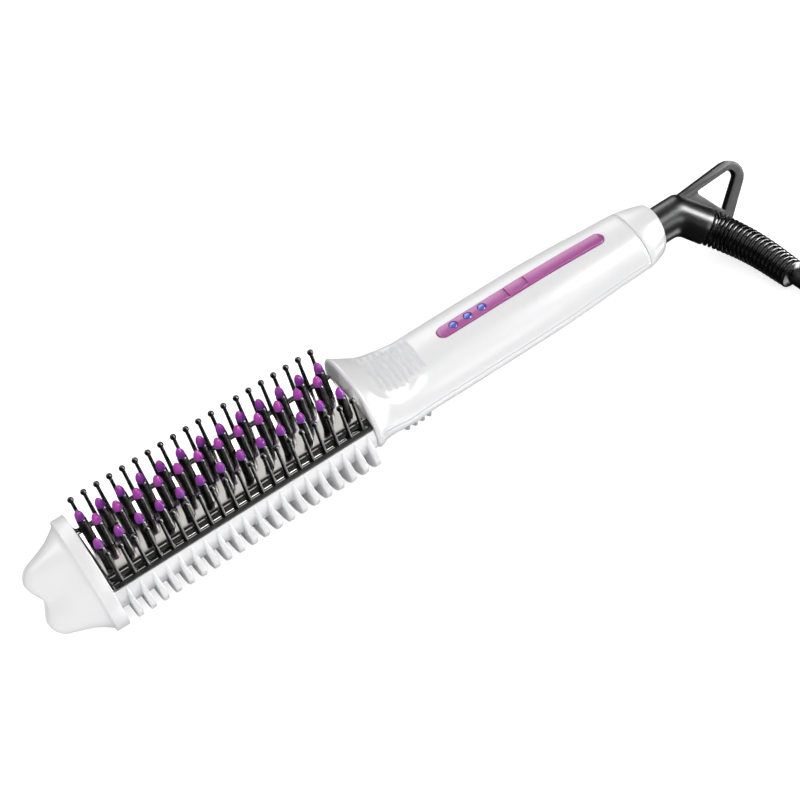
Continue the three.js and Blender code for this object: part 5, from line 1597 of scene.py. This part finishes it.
def reflected_studio(tree):
    """The brightness that reflections meet: dark, with the soft boxes."""
    place = add_node(tree, "ShaderNodeTexCoord")
    total = 0.01
    for direction, inner, outer, strength in SOFT_BOXES:
        along = add_node(
            tree, "ShaderNodeVectorMath", {"operation": "DOT_PRODUCT"},
            _0=place.outputs["Generated"], _1=Vector(direction).normalized())
        box = add_node(
            tree, "ShaderNodeMapRange", {"interpolation_type": "SMOOTHSTEP"},
            Value=along.outputs["Value"], From_Min=math.cos(math.radians(outer)),
            From_Max=math.cos(math.radians(inner)), To_Min=0.0, To_Max=strength)
        total = add_node(
            tree, "ShaderNodeMath", {"operation": "ADD"}, _0=box.outputs["Result"],
            _1=total).outputs["Value"]
    return total


def white_paper():
    """Painted paper: matte white, and its brightness lifted for the camera only."""
    paper, tree, shader = new_material("white_paper")
    tinted(tree, shader, grain(tree, 400), (0.9, 0.9, 0.905, 1.0), 0.01)
    shader.inputs["Roughness"].default_value = 0.9
    shader.inputs["Specular IOR Level"].default_value = 0.2
    rays = add_node(tree, "ShaderNodeLightPath")
    lift = add_node(
        tree, "ShaderNodeMath", {"operation": "MULTIPLY"},
        _0=rays.outputs["Is Camera Ray"], _1=0.6)
    shader.inputs["Emission Color"].default_value = (1, 1, 1, 1)
    tree.links.new(lift.outputs["Value"], shader.inputs["Emission Strength"])
    return paper


def studio_floor():
    """The table that the comb lies on, with its edges out of sight."""
    bm = bmesh.new()
    bmesh.ops.create_grid(bm, x_segments=1, y_segments=1, size=3)
    mesh = bpy.data.meshes.new("floor")
    bm.to_mesh(mesh)
    bm.free()
    floor = bpy.data.objects.new("floor", mesh)
    bpy.context.scene.collection.objects.link(floor)
    floor.location = (0.2, 0, -0.0002)
    mesh.materials.append(white_paper())
    floor.visible_glossy = False


def studio_backdrop():
    """A backdrop that is white to the camera, soft grey as light, and dark with the soft boxes
    in reflections."""
    world = bpy.data.worlds.new("studio")
    bpy.context.scene.world = world
    world.use_nodes = True
    tree = world.node_tree
    tree.nodes.clear()
    output = tree.nodes.new("ShaderNodeOutputWorld")
    rays = add_node(tree, "ShaderNodeLightPath")
    seen = add_node(
        tree, "ShaderNodeMapRange", Value=rays.outputs["Is Camera Ray"], To_Min=0.7, To_Max=1.0)
    strength = add_node(
        tree, "ShaderNodeMix", {"data_type": "FLOAT"}, _0=rays.outputs["Is Glossy Ray"],
        _2=seen.outputs["Result"], _3=reflected_studio(tree))
    back = add_node(
        tree, "ShaderNodeBackground", Color=(1, 1, 1, 1), Strength=strength.outputs[0])
    tree.links.new(back.outputs["Background"], output.inputs["Surface"])


class COMB_OT_stage(bpy.types.Operator):
    """Sets the plain pale floor, the backdrop's light and the soft boxes"""

    bl_idname = "comb.stage"
    bl_label = "Studio"

    def execute(self, context):
        studio_floor()
        studio_backdrop()
        for lamp in LAMPS:
            area_lamp(*lamp)
        context.scene.view_settings.view_transform = "Standard"
        return {"FINISHED"}


class COMB_PT_pieces(bpy.types.Panel):
    """Lists the pieces' operators and the sizes and colours that they use"""

    bl_label = "Hair Comb"
    bl_idname = "COMB_PT_pieces"
    bl_space_type = "VIEW_3D"
    bl_region_type = "UI"
    bl_category = "Hair Comb"

    def draw(self, context):
        layout = self.layout
        for operator in OPERATORS:
            layout.operator(operator.bl_idname)
        for group in (context.scene.comb_sizes, context.scene.comb_colours):
            box = layout.box()
            for name in group.__annotations__:
                box.prop(group, name)


OPERATORS = [
    COMB_OT_camera, COMB_OT_lead, COMB_OT_nose, COMB_OT_head, COMB_OT_strips,
    COMB_OT_bristles, COMB_OT_handle, COMB_OT_controls, COMB_OT_swivel, COMB_OT_plug,
    COMB_OT_inside, COMB_OT_stage,
]
CLASSES = [CombSizes, CombColours, *OPERATORS, COMB_PT_pieces]


def register():
    """Registers the classes and hangs the property groups on the scene."""
    for cls in CLASSES:
        bpy.utils.register_class(cls)
    bpy.types.Scene.comb_sizes = bpy.props.PointerProperty(type=CombSizes)
    bpy.types.Scene.comb_colours = bpy.props.PointerProperty(type=CombColours)


def unregister():
    """Takes the property groups and the classes away again."""
    del bpy.types.Scene.comb_sizes
    del bpy.types.Scene.comb_colours
    for cls in reversed(CLASSES):
        bpy.utils.unregister_class(cls)


def main():
    """Builds the pieces in order."""
    register()
    for operator in OPERATORS:
        category, name = operator.bl_idname.split(".")
        getattr(getattr(bpy.ops, category), name)()
    bpy.context.view_layer.update()


if __name__ == "__main__":
    main()
